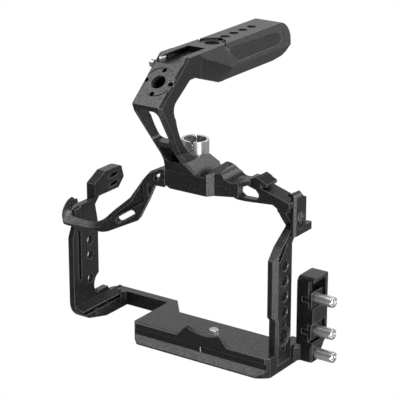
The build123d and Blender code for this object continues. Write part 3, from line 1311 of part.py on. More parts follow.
with BuildPart() as handle_frame:
    # post and head
    add(handle_side(POST_WIDTH))
    with BuildSketch(side_plane(HANDLE_X)):
        Polygon(
            (HEAD_BACK, grip_under_z),
            (GRIP_END, grip_under_z),
            (GRIP_END, HANDLE_TOP),
            (HEAD_BACK, HANDLE_TOP),
            align=None,
        )
    extrude(amount=POST_WIDTH / 2, both=True, mode=Mode.SUBTRACT)
    # the post narrows to a waist above the foot
    with BuildSketch(front_plane(POST_FOOT_Y)):
        for side in (-1, 1):
            Polygon(
                (HANDLE_X + side * POST_WIDTH / 2, WAIST_TOP),
                (HANDLE_X + side * WAIST_WIDTH / 2, WAIST_Z),
                (HANDLE_X + side * FOOT_TOP_WIDTH / 2, KNOB_BASE),
                (HANDLE_X + side * FOOT_TOP_WIDTH / 2, BLOCK_TOP),
                (HANDLE_X + side * POST_WIDTH / 2, BLOCK_TOP),
                align=None,
            )
    extrude(amount=POST_FOOT_Y - ELBOW_Y, mode=Mode.SUBTRACT)
    # grip: a transition from the head, then one long six-sided section
    with BuildSketch(front_plane(HEAD_BACK)):
        Polygon(*grip_section(HEAD_TOP_WIDTH, POST_WIDTH, HANDLE_TOP - HEAD_EDGE, HEAD_TOP_WIDTH - 1), align=None)
    with BuildSketch(front_plane(GRIP_FRONT)):
        Polygon(*grip_section(GRIP_TOP_WIDTH, GRIP_WIDTH, grip_wide_z, GRIP_UNDER_WIDTH), align=None)
    loft(ruled=True)
    with BuildSketch(front_plane(GRIP_END)):
        Polygon(*grip_section(GRIP_TOP_WIDTH, GRIP_WIDTH, grip_wide_z, GRIP_UNDER_WIDTH), align=None)
    extrude(amount=GRIP_END - GRIP_FRONT)
    add(handle_side(FOOT_WIDTH), mode=Mode.INTERSECT)
    # foot with sloping sides
    with BuildSketch(front_plane(FOOT_BACK_Y)):
        Polygon(
            (HANDLE_X - POST_WIDTH / 2, BLOCK_TOP),
            (HANDLE_X + POST_WIDTH / 2, BLOCK_TOP),
            (HANDLE_X + POST_WIDTH / 2, KNOB_BASE),
            (HANDLE_X - POST_WIDTH / 2, KNOB_BASE),
            align=None,
        )
    extrude(amount=FOOT_BACK_Y - POST_FOOT_Y, mode=Mode.SUBTRACT)
    with BuildSketch(front_plane(FOOT_BACK_Y)):
        Polygon(
            (HANDLE_X - FOOT_WIDTH / 2, BLOCK_TOP),
            (HANDLE_X + FOOT_WIDTH / 2, BLOCK_TOP),
            (HANDLE_X + FOOT_TOP_WIDTH / 2, KNOB_BASE),
            (HANDLE_X - FOOT_TOP_WIDTH / 2, KNOB_BASE),
            align=None,
        )
    extrude(amount=FOOT_BACK_Y - BEND_Y)
    with BuildSketch(side_plane(HANDLE_X)):
        Polygon(
            (FOOT_FRONT_Y, BLOCK_TOP),
            (BEND_Y, BEND_Z),
            (BEND_Y - 2, BLOCK_TOP),
            align=None,
        )
        Polygon(
            (FOOT_TOP_Y, KNOB_BASE),
            (FOOT_BACK_Y, FOOT_SLOPE_Z),
            (FOOT_BACK_Y, KNOB_BASE),
            align=None,
        )
    extrude(amount=FOOT_WIDTH / 2, both=True, mode=Mode.SUBTRACT)
    # bevels down both sides of the slanted face and the post's front
    front_faces = handle_frame.faces().filter_by(
        lambda face: face.center().Y < FOOT_FRONT_Y and face.normal_at(face.center()).Y < -FRONT_LEAN
    )
    side_edges = front_faces.edges().filter_by(
        lambda edge: abs(edge.position_at(0).X - edge.position_at(1).X) < POST_WIDTH / 4
        and edge.center().Y < FOOT_FRONT_Y
    )
    chamfer(side_edges, POST_CHAMFER)
    # seat, bore and pin holes of the mounting knob
    with BuildSketch(z_bore(HANDLE_X, KNOB_Y, KNOB_BASE)):
        Circle(KNOB_R + HEAD_SIDE_GAP)
    extrude(amount=-SEAT_GAP, mode=Mode.SUBTRACT)
    with BuildSketch(z_bore(HANDLE_X, KNOB_Y, KNOB_BASE)):
        Circle(STUD_R + RUN_CLEAR)
    extrude(amount=BLOCK_TOP - KNOB_BASE, mode=Mode.SUBTRACT)
    for side in (-1, 1):
        with BuildSketch(z_bore(HANDLE_X + side * FOOT_PIN_X, FOOT_PIN_Y, BLOCK_TOP)):
            Circle(FOOT_PIN_R)
        extrude(amount=FOOT_PIN_DEPTH, mode=Mode.SUBTRACT)
    # window and pocket in the post
    with BuildSketch(front_plane(POST_FOOT_Y)):
        Polygon(
            (HANDLE_X - WINDOW_LOW_WIDTH / 2, WINDOW_LOW),
            (HANDLE_X + WINDOW_LOW_WIDTH / 2, WINDOW_LOW),
            (HANDLE_X + WINDOW_TOP_WIDTH / 2, HANDLE_TOP - WINDOW_DEPTH),
            (HANDLE_X - WINDOW_TOP_WIDTH / 2, HANDLE_TOP - WINDOW_DEPTH),
            align=None,
        )
        fillet(vertices(), WINDOW_ROUND)
    extrude(amount=POST_FOOT_Y - ELBOW_Y, mode=Mode.SUBTRACT)
    with BuildSketch(post_plane()):
        with Locations((0, (POCKET_LOW + POCKET_HIGH) / 2)):
            RectangleRounded(POCKET_WIDTH, POCKET_HIGH - POCKET_LOW, WINDOW_ROUND)
    extrude(amount=-POCKET_CUT, mode=Mode.SUBTRACT)
    with BuildSketch(post_plane()):
        with Locations((0, (POCKET_LOW + POCKET_HIGH) / 2)):
            RectangleRounded(POCKET_WIDTH, POCKET_HIGH - POCKET_LOW, WINDOW_ROUND)
    extrude(amount=POCKET_CUT, mode=Mode.SUBTRACT)
    # locating hole in the slanted face, with its ring groove and pin holes
    with BuildSketch(face_plane(FACE_HOLE_RUN)):
        Circle(THREE_EIGHTHS_R)
    extrude(amount=-FACE_HOLE_DEPTH, mode=Mode.SUBTRACT)
    with BuildSketch(face_plane(FACE_HOLE_RUN)):
        Circle(GROOVE_R)
        Circle(GROOVE_R - GROOVE_WIDTH, mode=Mode.SUBTRACT)
    extrude(amount=-GROOVE_DEPTH, mode=Mode.SUBTRACT)
    with BuildSketch(face_plane(FACE_HOLE_RUN)):
        with PolarLocations(FACE_PIN_R, 4):
            Circle(PIN_HOLE_R)
    extrude(amount=-PIN_HOLE_DEPTH, mode=Mode.SUBTRACT)
    # cold shoe at the front of the top
    with BuildSketch(front_plane(SHOE_END_Y)):
        Polygon(
            (HANDLE_X - shoe_half, shoe_floor_z),
            (HANDLE_X + shoe_half, shoe_floor_z),
            (HANDLE_X + shoe_half, HANDLE_TOP - SHOE_LIP_T),
            (HANDLE_X + gap_half, HANDLE_TOP - SHOE_LIP_T),
            (HANDLE_X + gap_half, HANDLE_TOP),
            (HANDLE_X - gap_half, HANDLE_TOP),
            (HANDLE_X - gap_half, HANDLE_TOP - SHOE_LIP_T),
            (HANDLE_X - shoe_half, HANDLE_TOP - SHOE_LIP_T),
            align=None,
        )
    extrude(amount=SHOE_END_Y - ELBOW_Y, mode=Mode.SUBTRACT)
    # hole in the shoe's floor and the window in its left rail
    with BuildSketch(z_bore(HANDLE_X, 0, shoe_floor_z)):
        Circle(THREE_EIGHTHS_R)
    extrude(amount=-SHOE_HOLE_DEPTH, mode=Mode.SUBTRACT)
    with BuildSketch(side_plane(HANDLE_X - shoe_half)):
        with Locations((RAIL_WINDOW_Y, shoe_floor_z + SHOE_HEIGHT / 2)):
            Rectangle(RAIL_WINDOW_LENGTH, SHOE_HEIGHT)
    extrude(amount=shoe_half - POST_WIDTH / 2, mode=Mode.SUBTRACT)
    # locating hole with its pin holes, and the row of threaded holes
    with BuildSketch(z_bore(HANDLE_X, HANDLE_LOCATING_Y, HANDLE_TOP)):
        Circle(TOP_RECESS_R)
    extrude(amount=-TOP_RECESS_DEPTH, mode=Mode.SUBTRACT)
    with BuildSketch(z_bore(HANDLE_X, HANDLE_LOCATING_Y, HANDLE_TOP - TOP_RECESS_DEPTH)):
        Circle(THREE_EIGHTHS_R)
    extrude(amount=-HANDLE_HOLE_DEPTH, mode=Mode.SUBTRACT)
    with BuildSketch(z_bore(HANDLE_X, HANDLE_LOCATING_Y, HANDLE_TOP)):
        with PolarLocations(FACE_PIN_R, 4):
            Circle(PIN_HOLE_R)
    extrude(amount=-PIN_HOLE_DEPTH, mode=Mode.SUBTRACT)
    for hole in range(HANDLE_HOLES):
        with BuildSketch(z_bore(HANDLE_X, HANDLE_HOLE_Y + hole * HANDLE_HOLE_PITCH, HANDLE_TOP)):
            Circle(QUARTER_R)
        extrude(amount=-HANDLE_HOLE_DEPTH, mode=Mode.SUBTRACT)
    # recesses of the two grip inserts
    for side in (-1, 1):
        with BuildSketch(band_plane(side)):
            Polygon(*insert_outline(side, 0), align=None)
        extrude(amount=-INSERT_DEPTH, mode=Mode.SUBTRACT)
handle_frame.part.label = "handle_frame"

inserts = []
for side, name in ((1, "handle_insert_right"), (-1, "handle_insert_left")):
    with BuildPart() as grip_insert:
        with BuildSketch(band_plane(side).offset(-INSERT_DEPTH)):
            Polygon(*insert_outline(side, INSERT_GAP), align=None)
        extrude(amount=INSERT_DEPTH)
    grip_insert.part.label = name
    inserts.append(grip_insert)

with BuildPart() as handle_pins:
    for side in (-1, 1):
        with BuildSketch(z_bore(HANDLE_X + side * FOOT_PIN_X, FOOT_PIN_Y, BLOCK_TOP)):
            Circle(FOOT_PIN_R)
        extrude(amount=FOOT_PIN_DEPTH, both=True)
handle_pins.part.label = "handle_pins"

# ---------------------------------------------------------------- mounting knob
ring_turn = radians(KNOB_ANGLE + 90)
knob_plane = Plane(
    origin=(HANDLE_X, KNOB_Y, KNOB_BASE), x_dir=(cos(ring_turn), sin(ring_turn), 0), z_dir=(0, 0, 1)
)
ring_base = KNOB_FLOOR + RING_GAP
pivot_height = ring_base + RING_HEIGHT / 2


def pin_plane(reach):
    """Plane across the ring's pivot: local x outwards from the knob's middle, local y up."""
    out = (sin(ring_turn), -cos(ring_turn), 0)
    origin = (
        HANDLE_X + out[0] * RING_PIVOT_V + reach * cos(ring_turn),
        KNOB_Y + out[1] * RING_PIVOT_V + reach * sin(ring_turn),
        KNOB_BASE + pivot_height,
    )
    return Plane(origin=origin, x_dir=out, z_dir=(-cos(ring_turn), -sin(ring_turn), 0))


with BuildPart() as mount_knob:
    with BuildSketch(knob_plane):
        Circle(KNOB_R)
    extrude(amount=KNOB_FLOOR)
    with BuildSketch(knob_plane.offset(KNOB_FLOOR)):
        Circle(KNOB_R)
        Circle(KNOB_R - KNOB_WALL, mode=Mode.SUBTRACT)
        with Locations((0, -KNOB_R)):
            Rectangle(2 * KNOB_R, 2 * KNOB_R, mode=Mode.SUBTRACT)
    extrude(amount=KNOB_HEIGHT - KNOB_FLOOR)
    for ear in (-EAR_OUTER, EAR_INNER):
        with BuildSketch(pin_plane(ear)):
            Circle(EAR_R)
            with Locations((0, -(pivot_height - KNOB_FLOOR) / 2)):
                Rectangle(2 * EAR_R, pivot_height - KNOB_FLOOR)
            Circle(RING_PIN_R, mode=Mode.SUBTRACT)
        extrude(amount=-(EAR_OUTER - EAR_INNER))
    with BuildSketch(knob_plane):
        Circle(STUD_R)
    extrude(amount=-(KNOB_BASE - BLOCK_TOP + STUD_DEPTH))
    chamfer(mount_knob.edges().group_by(Axis.Z)[0], SCREW_TIP_CHAMFER)
mount_knob.part.label = "mount_knob"

with BuildPart() as knob_ring:
    with BuildSketch(knob_plane.offset(ring_base)):
        Circle(KNOB_R)
        Circle(KNOB_R - KNOB_WALL, mode=Mode.SUBTRACT)
        with Locations((0, KNOB_R - RING_PIVOT_V + RING_HEIGHT / 2)):
            Rectangle(2 * KNOB_R, 2 * KNOB_R, mode=Mode.SUBTRACT)
    extrude(amount=RING_HEIGHT)
    # rounded ends about the pivot
    with BuildSketch(pin_plane(-KNOB_R)):
        with Locations((-RING_HEIGHT / 4, 0)):
            Rectangle(RING_HEIGHT / 2, RING_HEIGHT)
        Circle(RING_HEIGHT / 2, mode=Mode.SUBTRACT)
    extrude(amount=-2 * KNOB_R, mode=Mode.SUBTRACT)
    with BuildSketch(pin_plane(-KNOB_R)):
        Circle(RING_PIN_R + RUN_CLEAR)
    extrude(amount=-2 * KNOB_R, mode=Mode.SUBTRACT)
knob_ring.part.label = "knob_ring"

with BuildPart() as knob_pin:
    with BuildSketch(pin_plane(-RING_PIN_REACH)):
        Circle(RING_PIN_R)
    extrude(amount=-2 * RING_PIN_REACH)
knob_pin.part.label = "knob_pin"

# ---------------------------------------------------------------- cable clamp
channel_front = CLAMP_FRONT + FRONT_WALL
channel_back = CLAMP_BACK - CLAMP_WALL
clamp_roof = CLAMP_TOP - CLAMP_WALL

with BuildPart() as clamp_body:
    with BuildSketch(side_plane(CLAMP_LEFT)):
        with BuildLine():
            Polyline(
                (LUG_BACK, LUG_BOTTOM),
                (CLAMP_FRONT, LUG_BOTTOM),
                (CLAMP_FRONT, CLAMP_TOP - CLAMP_ROUND),
            )
            RadiusArc(
                (CLAMP_FRONT, CLAMP_TOP - CLAMP_ROUND), (CLAMP_FRONT + CLAMP_ROUND, CLAMP_TOP), CLAMP_ROUND
            )
            Polyline(
                (CLAMP_FRONT + CLAMP_ROUND, CLAMP_TOP),
                (CLAMP_BACK, CLAMP_TOP),
                (CLAMP_BACK, CLAMP_LOW + 4),
            )
            ThreePointArc(
                (CLAMP_BACK, CLAMP_LOW + 4), (CLAMP_BACK - 2.2, FOOT_TOP), (LUG_BACK, LUG_BOTTOM + 6)
            )
            Line((LUG_BACK, LUG_BOTTOM + 6), (LUG_BACK, LUG_BOTTOM))
        make_face()
        for low, high in ((CLAMP_FLOOR, DIVIDER_LOW), (DIVIDER_HIGH, clamp_roof)):
            with Locations(((channel_front + channel_back) / 2, (low + high) / 2)):
                Rectangle(channel_back - channel_front, high - low, mode=Mode.SUBTRACT)
    extrude(amount=CLAMP_RIGHT - CLAMP_LEFT)
    # the front wall is lower than the rest, and the foot stands on the lug's face
    with BuildSketch(front_plane(channel_front)):
        with Locations(((FRONT_RIGHT + CLAMP_RIGHT) / 2, (CLAMP_FLOOR + DIVIDER_LOW) / 2)):
            Rectangle(CLAMP_RIGHT - FRONT_RIGHT, DIVIDER_LOW - CLAMP_FLOOR)
        with Locations(((FRONT_RIGHT + CLAMP_RIGHT) / 2, (DIVIDER_HIGH + clamp_roof) / 2)):
            Rectangle(CLAMP_RIGHT - FRONT_RIGHT, clamp_roof - DIVIDER_HIGH)
    extrude(amount=FRONT_WALL, mode=Mode.SUBTRACT)
    with BuildSketch(front_plane(CLAMP_BACK)):
        with Locations(((CLAMP_LEFT + LUG_RIGHT) / 2, (LUG_BOTTOM + FOOT_TOP) / 2)):
            Rectangle(LUG_RIGHT - CLAMP_LEFT, FOOT_TOP - LUG_BOTTOM)
        with Locations(((FOOT_RIGHT + CLAMP_RIGHT) / 2, (LUG_BOTTOM + FOOT_TOP) / 2)):
            Rectangle(CLAMP_RIGHT - FOOT_RIGHT, FOOT_TOP - LUG_BOTTOM)
    extrude(amount=CLAMP_BACK - CLAMP_FRONT, mode=Mode.SUBTRACT)
    foot_edge = clamp_body.edges().filter_by(Axis.Z).filter_by(
        lambda edge: edge.center().Z < FOOT_TOP
        and edge.center().Y < CLAMP_FRONT + 0.1
        and edge.center().X > LUG_RIGHT + 0.1
    )
    chamfer(foot_edge, FOOT_CHAMFER)
    # threaded bosses of the two jaw screws, and the slots of the jaws' legs
    for axis_z in JAW_Z:
        with BuildSketch(side_plane(CLAMP_LEFT)):
            with Locations(((channel_front + BOSS_BACK) / 2, axis_z)):
                Rectangle(BOSS_BACK - channel_front, 2 * BOSS_HALF)
        extrude(amount=BOSS_LENGTH)
        with BuildSketch(x_bore(THUMB_Y, axis_z, CLAMP_LEFT + BOSS_LENGTH)):
            Circle(THUMB_SHANK_R + RUN_CLEAR)
        extrude(amount=-(BOSS_LENGTH - THUMB_BLIND), mode=Mode.SUBTRACT)
        with BuildSketch(side_plane(FRONT_RIGHT)):
            with Locations((CLAMP_FRONT + FRONT_WALL / 2, axis_z)):
                Rectangle(FRONT_WALL, JAW_LEG_HEIGHT + 2 * SLIDE_CLEAR)
        extrude(amount=-(JAW_LEG + SLIDE_CLEAR), mode=Mode.SUBTRACT)
    # bore of the foot's screw
    with BuildSketch(x_bore(THUMB_Y, FOOT_SCREW_Z, FOOT_RIGHT)):
        Circle(THUMB_SHANK_R + RUN_CLEAR)
    extrude(amount=LUG_RIGHT - FOOT_RIGHT, mode=Mode.SUBTRACT)
clamp_body.part.label = "clamp_body"

jaws = []
for level, axis_z in zip(("lower", "upper"), JAW_Z):
    with BuildPart() as clamp_jaw:
        with BuildSketch(side_plane(JAW_X)):
            with Locations(((CLAMP_FRONT + JAW_BACK) / 2, axis_z)):
                Rectangle(JAW_BACK - CLAMP_FRONT, JAW_HEIGHT)
            with Locations((THUMB_Y, axis_z)):
                Circle(THUMB_SHANK_R + RUN_CLEAR, mode=Mode.SUBTRACT)
        extrude(amount=JAW_T)
        with BuildSketch(side_plane(JAW_X)):
            with Locations((CLAMP_FRONT + FRONT_WALL / 2, axis_z)):
                Rectangle(FRONT_WALL - 2 * SLIDE_CLEAR, JAW_LEG_HEIGHT)
        extrude(amount=-(JAW_LEG - JAW_TRAVEL_GAP))
    clamp_jaw.part.label = "jaw_" + level
    jaws.append(clamp_jaw)
    with BuildPart() as jaw_pad:
        with BuildSketch(side_plane(JAW_X)):
            with Locations((JAW_BACK - PAD_WIDTH / 2, axis_z)):
                Rectangle(PAD_WIDTH, JAW_HEIGHT - 1)
        extrude(amount=-PAD_T)
    jaw_pad.part.label = "jaw_pad_" + level
    jaws.append(jaw_pad)

thumbscrews = []
for level, axis_z, seat_x, tip_x in (
    ("foot", FOOT_SCREW_Z, FOOT_RIGHT + SEAT_GAP, LUG_RIGHT - foot_screw_thread),
    ("lower", JAW_Z[0], JAW_X + JAW_T + SEAT_GAP, CLAMP_LEFT + 2 * THUMB_BLIND),
    ("upper", JAW_Z[1], JAW_X + JAW_T + SEAT_GAP, CLAMP_LEFT + 2 * THUMB_BLIND),
):
    with BuildPart() as thumbscrew:
        add(screw(x_bore(THUMB_Y, axis_z, seat_x), THUMB_SHANK_R, seat_x - tip_x, THUMB_R, THUMB_LENGTH))
        with BuildSketch(x_bore(THUMB_Y, axis_z, seat_x + THUMB_LENGTH)):
            Rectangle(2 * THUMB_R, THUMB_SLOT_WIDTH)
            Rectangle(THUMB_SLOT_WIDTH, 2 * THUMB_R)
        extrude(amount=-THUMB_SLOT_DEPTH, mode=Mode.SUBTRACT)
        chamfer(
            thumbscrew.edges().group_by(Axis.X)[-1].filter_by(GeomType.CIRCLE), THUMB_CHAMFER
        )
    thumbscrew.part.label = "thumbscrew_" + level
    thumbscrews.append(thumbscrew)

# ---------------------------------------------------------------- export
os.makedirs("parts", exist_ok=True)
nodes = [base_plate, camera_screw, screw_retainer, port_wall_screws]
nodes += [grip_arm, grip_wall, grip_wall_screws, grip_collar, collar_screws]
nodes += [top_frame, beam_screws, port_wall, lock_plate, lock_screw]
nodes += [handle_frame, handle_pins, mount_knob, knob_ring, knob_pin, clamp_body]
for node in nodes + inserts + jaws + thumbscrews:
    export_step(node.part, f"parts/{node.part.label}.step")
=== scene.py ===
# %% [markdown]
# # A camera cage, dressed for its portrait
#
# A camera cage is a metal skeleton that is screwed round a camera so that handles, lights and
# cables have somewhere to go. The solids, their joints and their sizes come from the CAD model.
# This lesson loads that model as a fixed frame and gives it what CAD leaves plain: blasted and
# anodised surfaces, edges that catch the light, threads, and a soft white studio.

import json
from math import cos, pi, radians, sin

import bmesh
import bpy
from mathutils import Matrix, Vector


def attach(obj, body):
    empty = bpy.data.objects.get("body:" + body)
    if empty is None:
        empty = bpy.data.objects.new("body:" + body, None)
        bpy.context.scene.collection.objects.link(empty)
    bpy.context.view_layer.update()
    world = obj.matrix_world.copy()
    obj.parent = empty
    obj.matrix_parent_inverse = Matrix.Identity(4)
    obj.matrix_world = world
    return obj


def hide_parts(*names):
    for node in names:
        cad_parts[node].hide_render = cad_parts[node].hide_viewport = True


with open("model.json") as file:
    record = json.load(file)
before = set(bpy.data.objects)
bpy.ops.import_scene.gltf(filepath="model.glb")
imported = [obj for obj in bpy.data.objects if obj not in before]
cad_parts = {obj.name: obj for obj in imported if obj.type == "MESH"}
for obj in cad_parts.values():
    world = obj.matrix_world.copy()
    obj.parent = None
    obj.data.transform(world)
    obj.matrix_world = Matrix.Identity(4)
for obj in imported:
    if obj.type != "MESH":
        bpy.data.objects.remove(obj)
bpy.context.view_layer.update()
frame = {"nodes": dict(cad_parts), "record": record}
nodes = frame["nodes"]
MM = 0.001  # pieces and grain are typed in millimetres, the studio in metres
print("nodes in the frame:", len(nodes))

# %% [markdown]
# ## Small helpers for shader graphs
#
# Every finish here is a handful of linked nodes. Writing `tree.links.new` for each wire hides the
# idea of a finish, so one small class holds the tree, makes a node with its values already set,
# and links outputs to inputs as it goes.

# %% Shader helper
BEVEL_SAMPLES = 6
EDGE_FACING = (0.995, 0.93)  # how alike the rounded and flat normals are: on a flat, on an edge


class Finish:
    """A material and the few moves needed to wire up its nodes."""

    def __init__(self, name, metallic, roughness):
        self.material = bpy.data.materials.new(name)
        self.material.use_nodes = True
        self.tree = self.material.node_tree
        self.tree.nodes.clear()
        self.output = self.tree.nodes.new("ShaderNodeOutputMaterial")
        self.shader = self.tree.nodes.new("ShaderNodeBsdfPrincipled")
        self.shader.inputs["Metallic"].default_value = metallic
        self.shader.inputs["Roughness"].default_value = roughness
        self.tree.links.new(self.shader.outputs["BSDF"], self.output.inputs["Surface"])
        coordinates = self.tree.nodes.new("ShaderNodeTexCoord")
        self.place = coordinates.outputs["Object"]

    def link(self, source, target):
        """A wire from an output to an input."""
        self.tree.links.new(source, target)

    def noise(self, size, detail=2.0, stretch=(1, 1, 1)):
        """A noise whose blots are about size metres across."""
        mapping = self.tree.nodes.new("ShaderNodeMapping")
        mapping.inputs["Scale"].default_value = stretch
        self.link(self.place, mapping.inputs["Vector"])
        node = self.tree.nodes.new("ShaderNodeTexNoise")
        node.inputs["Scale"].default_value = 1 / size
        node.inputs["Detail"].default_value = detail
        self.link(mapping.outputs["Vector"], node.inputs["Vector"])
        return node.outputs["Fac"]

    def between(self, value, low, high, out_low=0.0, out_high=1.0):
        """Stretches value so that low..high becomes out_low..out_high."""
        node = self.tree.nodes.new("ShaderNodeMapRange")
        node.interpolation_type = "SMOOTHSTEP"
        limits = {"From Min": low, "From Max": high, "To Min": out_low, "To Max": out_high}
        for name, number in limits.items():
            node.inputs[name].default_value = number
        self.link(value, node.inputs["Value"])
        return node.outputs["Result"]

    def mix(self, factor, colour_a, colour_b):
        """Goes from colour_a to colour_b; each is a colour or another node's output."""
        node = self.tree.nodes.new("ShaderNodeMix")
        node.data_type = "RGBA"
        self.link(factor, node.inputs["Factor"])
        for socket, colour in ((node.inputs[6], colour_a), (node.inputs[7], colour_b)):
            if isinstance(colour, tuple):
                socket.default_value = (*colour, 1)
            else:
                self.link(colour, socket)
        return node.outputs[2]

    def bump(self, height, distance, strength=1.0, normal=None):
        """A normal pushed about by height, on top of another normal if one is given."""
        node = self.tree.nodes.new("ShaderNodeBump")
        node.inputs["Distance"].default_value = distance
        node.inputs["Strength"].default_value = strength
        self.link(height, node.inputs["Height"])
        if normal:
            self.link(normal, node.inputs["Normal"])
        return node.outputs["Normal"]

    def edges(self, radius):
        """Rounded normals at the edges, and a mask that is 1 on an edge and 0 on a flat."""
        rounded = self.tree.nodes.new("ShaderNodeBevel")
        rounded.samples = BEVEL_SAMPLES
        rounded.inputs["Radius"].default_value = radius
        geometry = self.tree.nodes.new("ShaderNodeNewGeometry")
        facing = self.tree.nodes.new("ShaderNodeVectorMath")
        facing.operation = "DOT_PRODUCT"
        self.link(rounded.outputs["Normal"], facing.inputs[0])
        self.link(geometry.outputs["True Normal"], facing.inputs[1])
        return rounded.outputs["Normal"], self.between(facing.outputs["Value"], *EDGE_FACING)


print("shader helper ready")

# %% [markdown]
# ## Blasted and anodised aluminium
#
# The cage's parts are milled, blasted with fine beads and dyed black. Up close the surface is a
# field of tiny dimples, so a broad highlight breaks into pale specks. A fine noise gives the
# dimples and their specks, and a coarse one clouds the colour. Along every edge a pale colour is
# painted
# in as a painted highlight: fine pale lines standing in for the light that the edges catch. Their
# mask comes from comparing a rounded normal with the flat one, so they follow every edge.

# %% Anodised finish
DIMPLE = 0.9 * MM
DIMPLE_DEPTH = 0.06 * MM
CLOUD = 2.4 * MM
# radius of the rounded edge normals and of the pale painted highlight laid along every edge
EDGE_HIGHLIGHT_RADIUS = 0.50 * MM
SPECKED = (0.36, 0.64)  # from here to here in the fine noise the dye turns to speck
CLOUDED = (0.45, 0.85)  # and in the coarse noise back to the plain dye
GLEAM = (0.34, 0.66, 0.30, 0.54)  # range of the fine noise, and the specular level it gives


def anodised(name, dye, speck, edge, roughness):
    """Blasted and dyed metal: a dye with specks and clouds, and a painted highlight on the edges.
    """
    finish = Finish(name, metallic=0.0, roughness=roughness)
    fine = finish.noise(DIMPLE, detail=3.0)
    coarse = finish.noise(CLOUD, detail=2.0)
    specks = finish.mix(finish.between(fine, *SPECKED), dye, speck)
    clouded = finish.mix(finish.between(coarse, *CLOUDED), specks, dye)
    rounded, edge_highlight_mask = finish.edges(EDGE_HIGHLIGHT_RADIUS)
    # painted highlight: the pale edge colour is laid over every edge through the mask
    colour = finish.mix(edge_highlight_mask, clouded, edge)
    finish.link(colour, finish.shader.inputs["Base Color"])
    finish.link(finish.bump(fine, DIMPLE_DEPTH, 0.8, rounded), finish.shader.inputs["Normal"])
    gleam = finish.between(fine, *GLEAM)
    finish.link(gleam, finish.shader.inputs["Specular IOR Level"])
    return finish.material


# the last colour is the painted edge highlight, a pale line standing in for light the edges catch
black_anodised = anodised(
    "black_anodised", (0.004, 0.004, 0.0042), (0.012, 0.012, 0.0123), (0.14, 0.14, 0.142), 0.36
)
print("finish:", black_anodised.name)

# %% [markdown]
# ## Turned steel, bright steel, black screws and rubber
#
# The camera screw, the thumbscrews and the folding knob are bare metal. Turning leaves very fine
# rings, which a stretched noise gives. The lock plate's screw is blotched, which the same noise
# gives without the stretch. The joining screws are blackened. The inserts of the grip and the
# pads of the clamp are moulded rubber with a fine grain.

# %% Steel, screw and rubber finishes
RING_SIZE = 0.5 * MM
RING_DEPTH = 0.02 * MM
TURNED_EDGE = 0.25 * MM
DULL_SPECULAR = 0.20


def bare_metal(name, colour, shade, roughness, stretch, metallic=1.0):
    """Bare metal; its marks are shorter along each axis by the factor in stretch."""
    finish = Finish(name, metallic=metallic, roughness=roughness)
    rings = finish.noise(RING_SIZE, detail=4.0, stretch=stretch)
    tone = finish.mix(finish.between(rings, 0.3, 0.7), shade, colour)
    finish.link(tone, finish.shader.inputs["Base Color"])
    rounded, _ = finish.edges(TURNED_EDGE)
    finish.link(finish.bump(rings, RING_DEPTH, 0.35, rounded), finish.shader.inputs["Normal"])
    return finish.material


def grained(name, colour, shade, roughness, grain):
    """A dull surface with a grain, for rubber, blackened steel, bores and paint."""
    finish = Finish(name, metallic=0.0, roughness=roughness)
    finish.shader.inputs["Specular IOR Level"].default_value = DULL_SPECULAR
    pattern = finish.noise(grain, detail=3.0)
    tone = finish.mix(finish.between(pattern, 0.35, 0.7), shade, colour)
    finish.link(tone, finish.shader.inputs["Base Color"])
    finish.link(finish.bump(pattern, grain / 6, 0.6), finish.shader.inputs["Normal"])
    return finish.material


turned_steel = bare_metal(
    "turned_steel", (0.50, 0.50, 0.51), (0.34, 0.34, 0.35), 0.36, (1, 1, 6), 0.8
)
satin_steel = bare_metal("satin_steel", (0.86, 0.86, 0.87), (0.70, 0.70, 0.71), 0.34, (6, 1, 1))
bright_steel = bare_metal(
    "bright_steel", (0.56, 0.56, 0.56), (0.46, 0.46, 0.46), 0.22, (1, 1, 5), 0.85
)
worn_steel = bare_metal("worn_steel", (0.34, 0.34, 0.35), (0.12, 0.12, 0.125), 0.34, (1, 1, 1))
blackened = grained("blackened_steel", (0.045, 0.045, 0.047), (0.02, 0.02, 0.021), 0.38, 0.5 * MM)
rubber = grained("grip_rubber", (0.032, 0.032, 0.033), (0.015, 0.015, 0.016), 0.70, 0.9 * MM)
bore_black = grained("bore_black", (0.020, 0.020, 0.021), (0.010, 0.010, 0.011), 0.55, 0.5 * MM)

FINISHES = {
    "black_anodised": black_anodised,
    "stainless": turned_steel,
    "black_steel": blackened,
    "insert_rubber": rubber,
    "silver_knob": bright_steel,
    "silver_screw": satin_steel,
}
for part in frame["record"]["subparts"]:
    obj = nodes[part["node"]]
    obj.data.materials.clear()
    obj.data.materials.append(FINISHES[part["material_slot"]])
nodes["lock_screw"].data.materials[0] = worn_steel

# %% [markdown]
# ## The screw threads
#
# A thread is a helix. The threaded holes and the camera screw all have the same shape with another
# radius, pitch and length. Each could be modelled by itself, but one Geometry Nodes tree that
# sweeps a small square along a spiral does for all, and each thread only gives its own numbers.

# %% Thread tree
STEPS_PER_TURN = 28


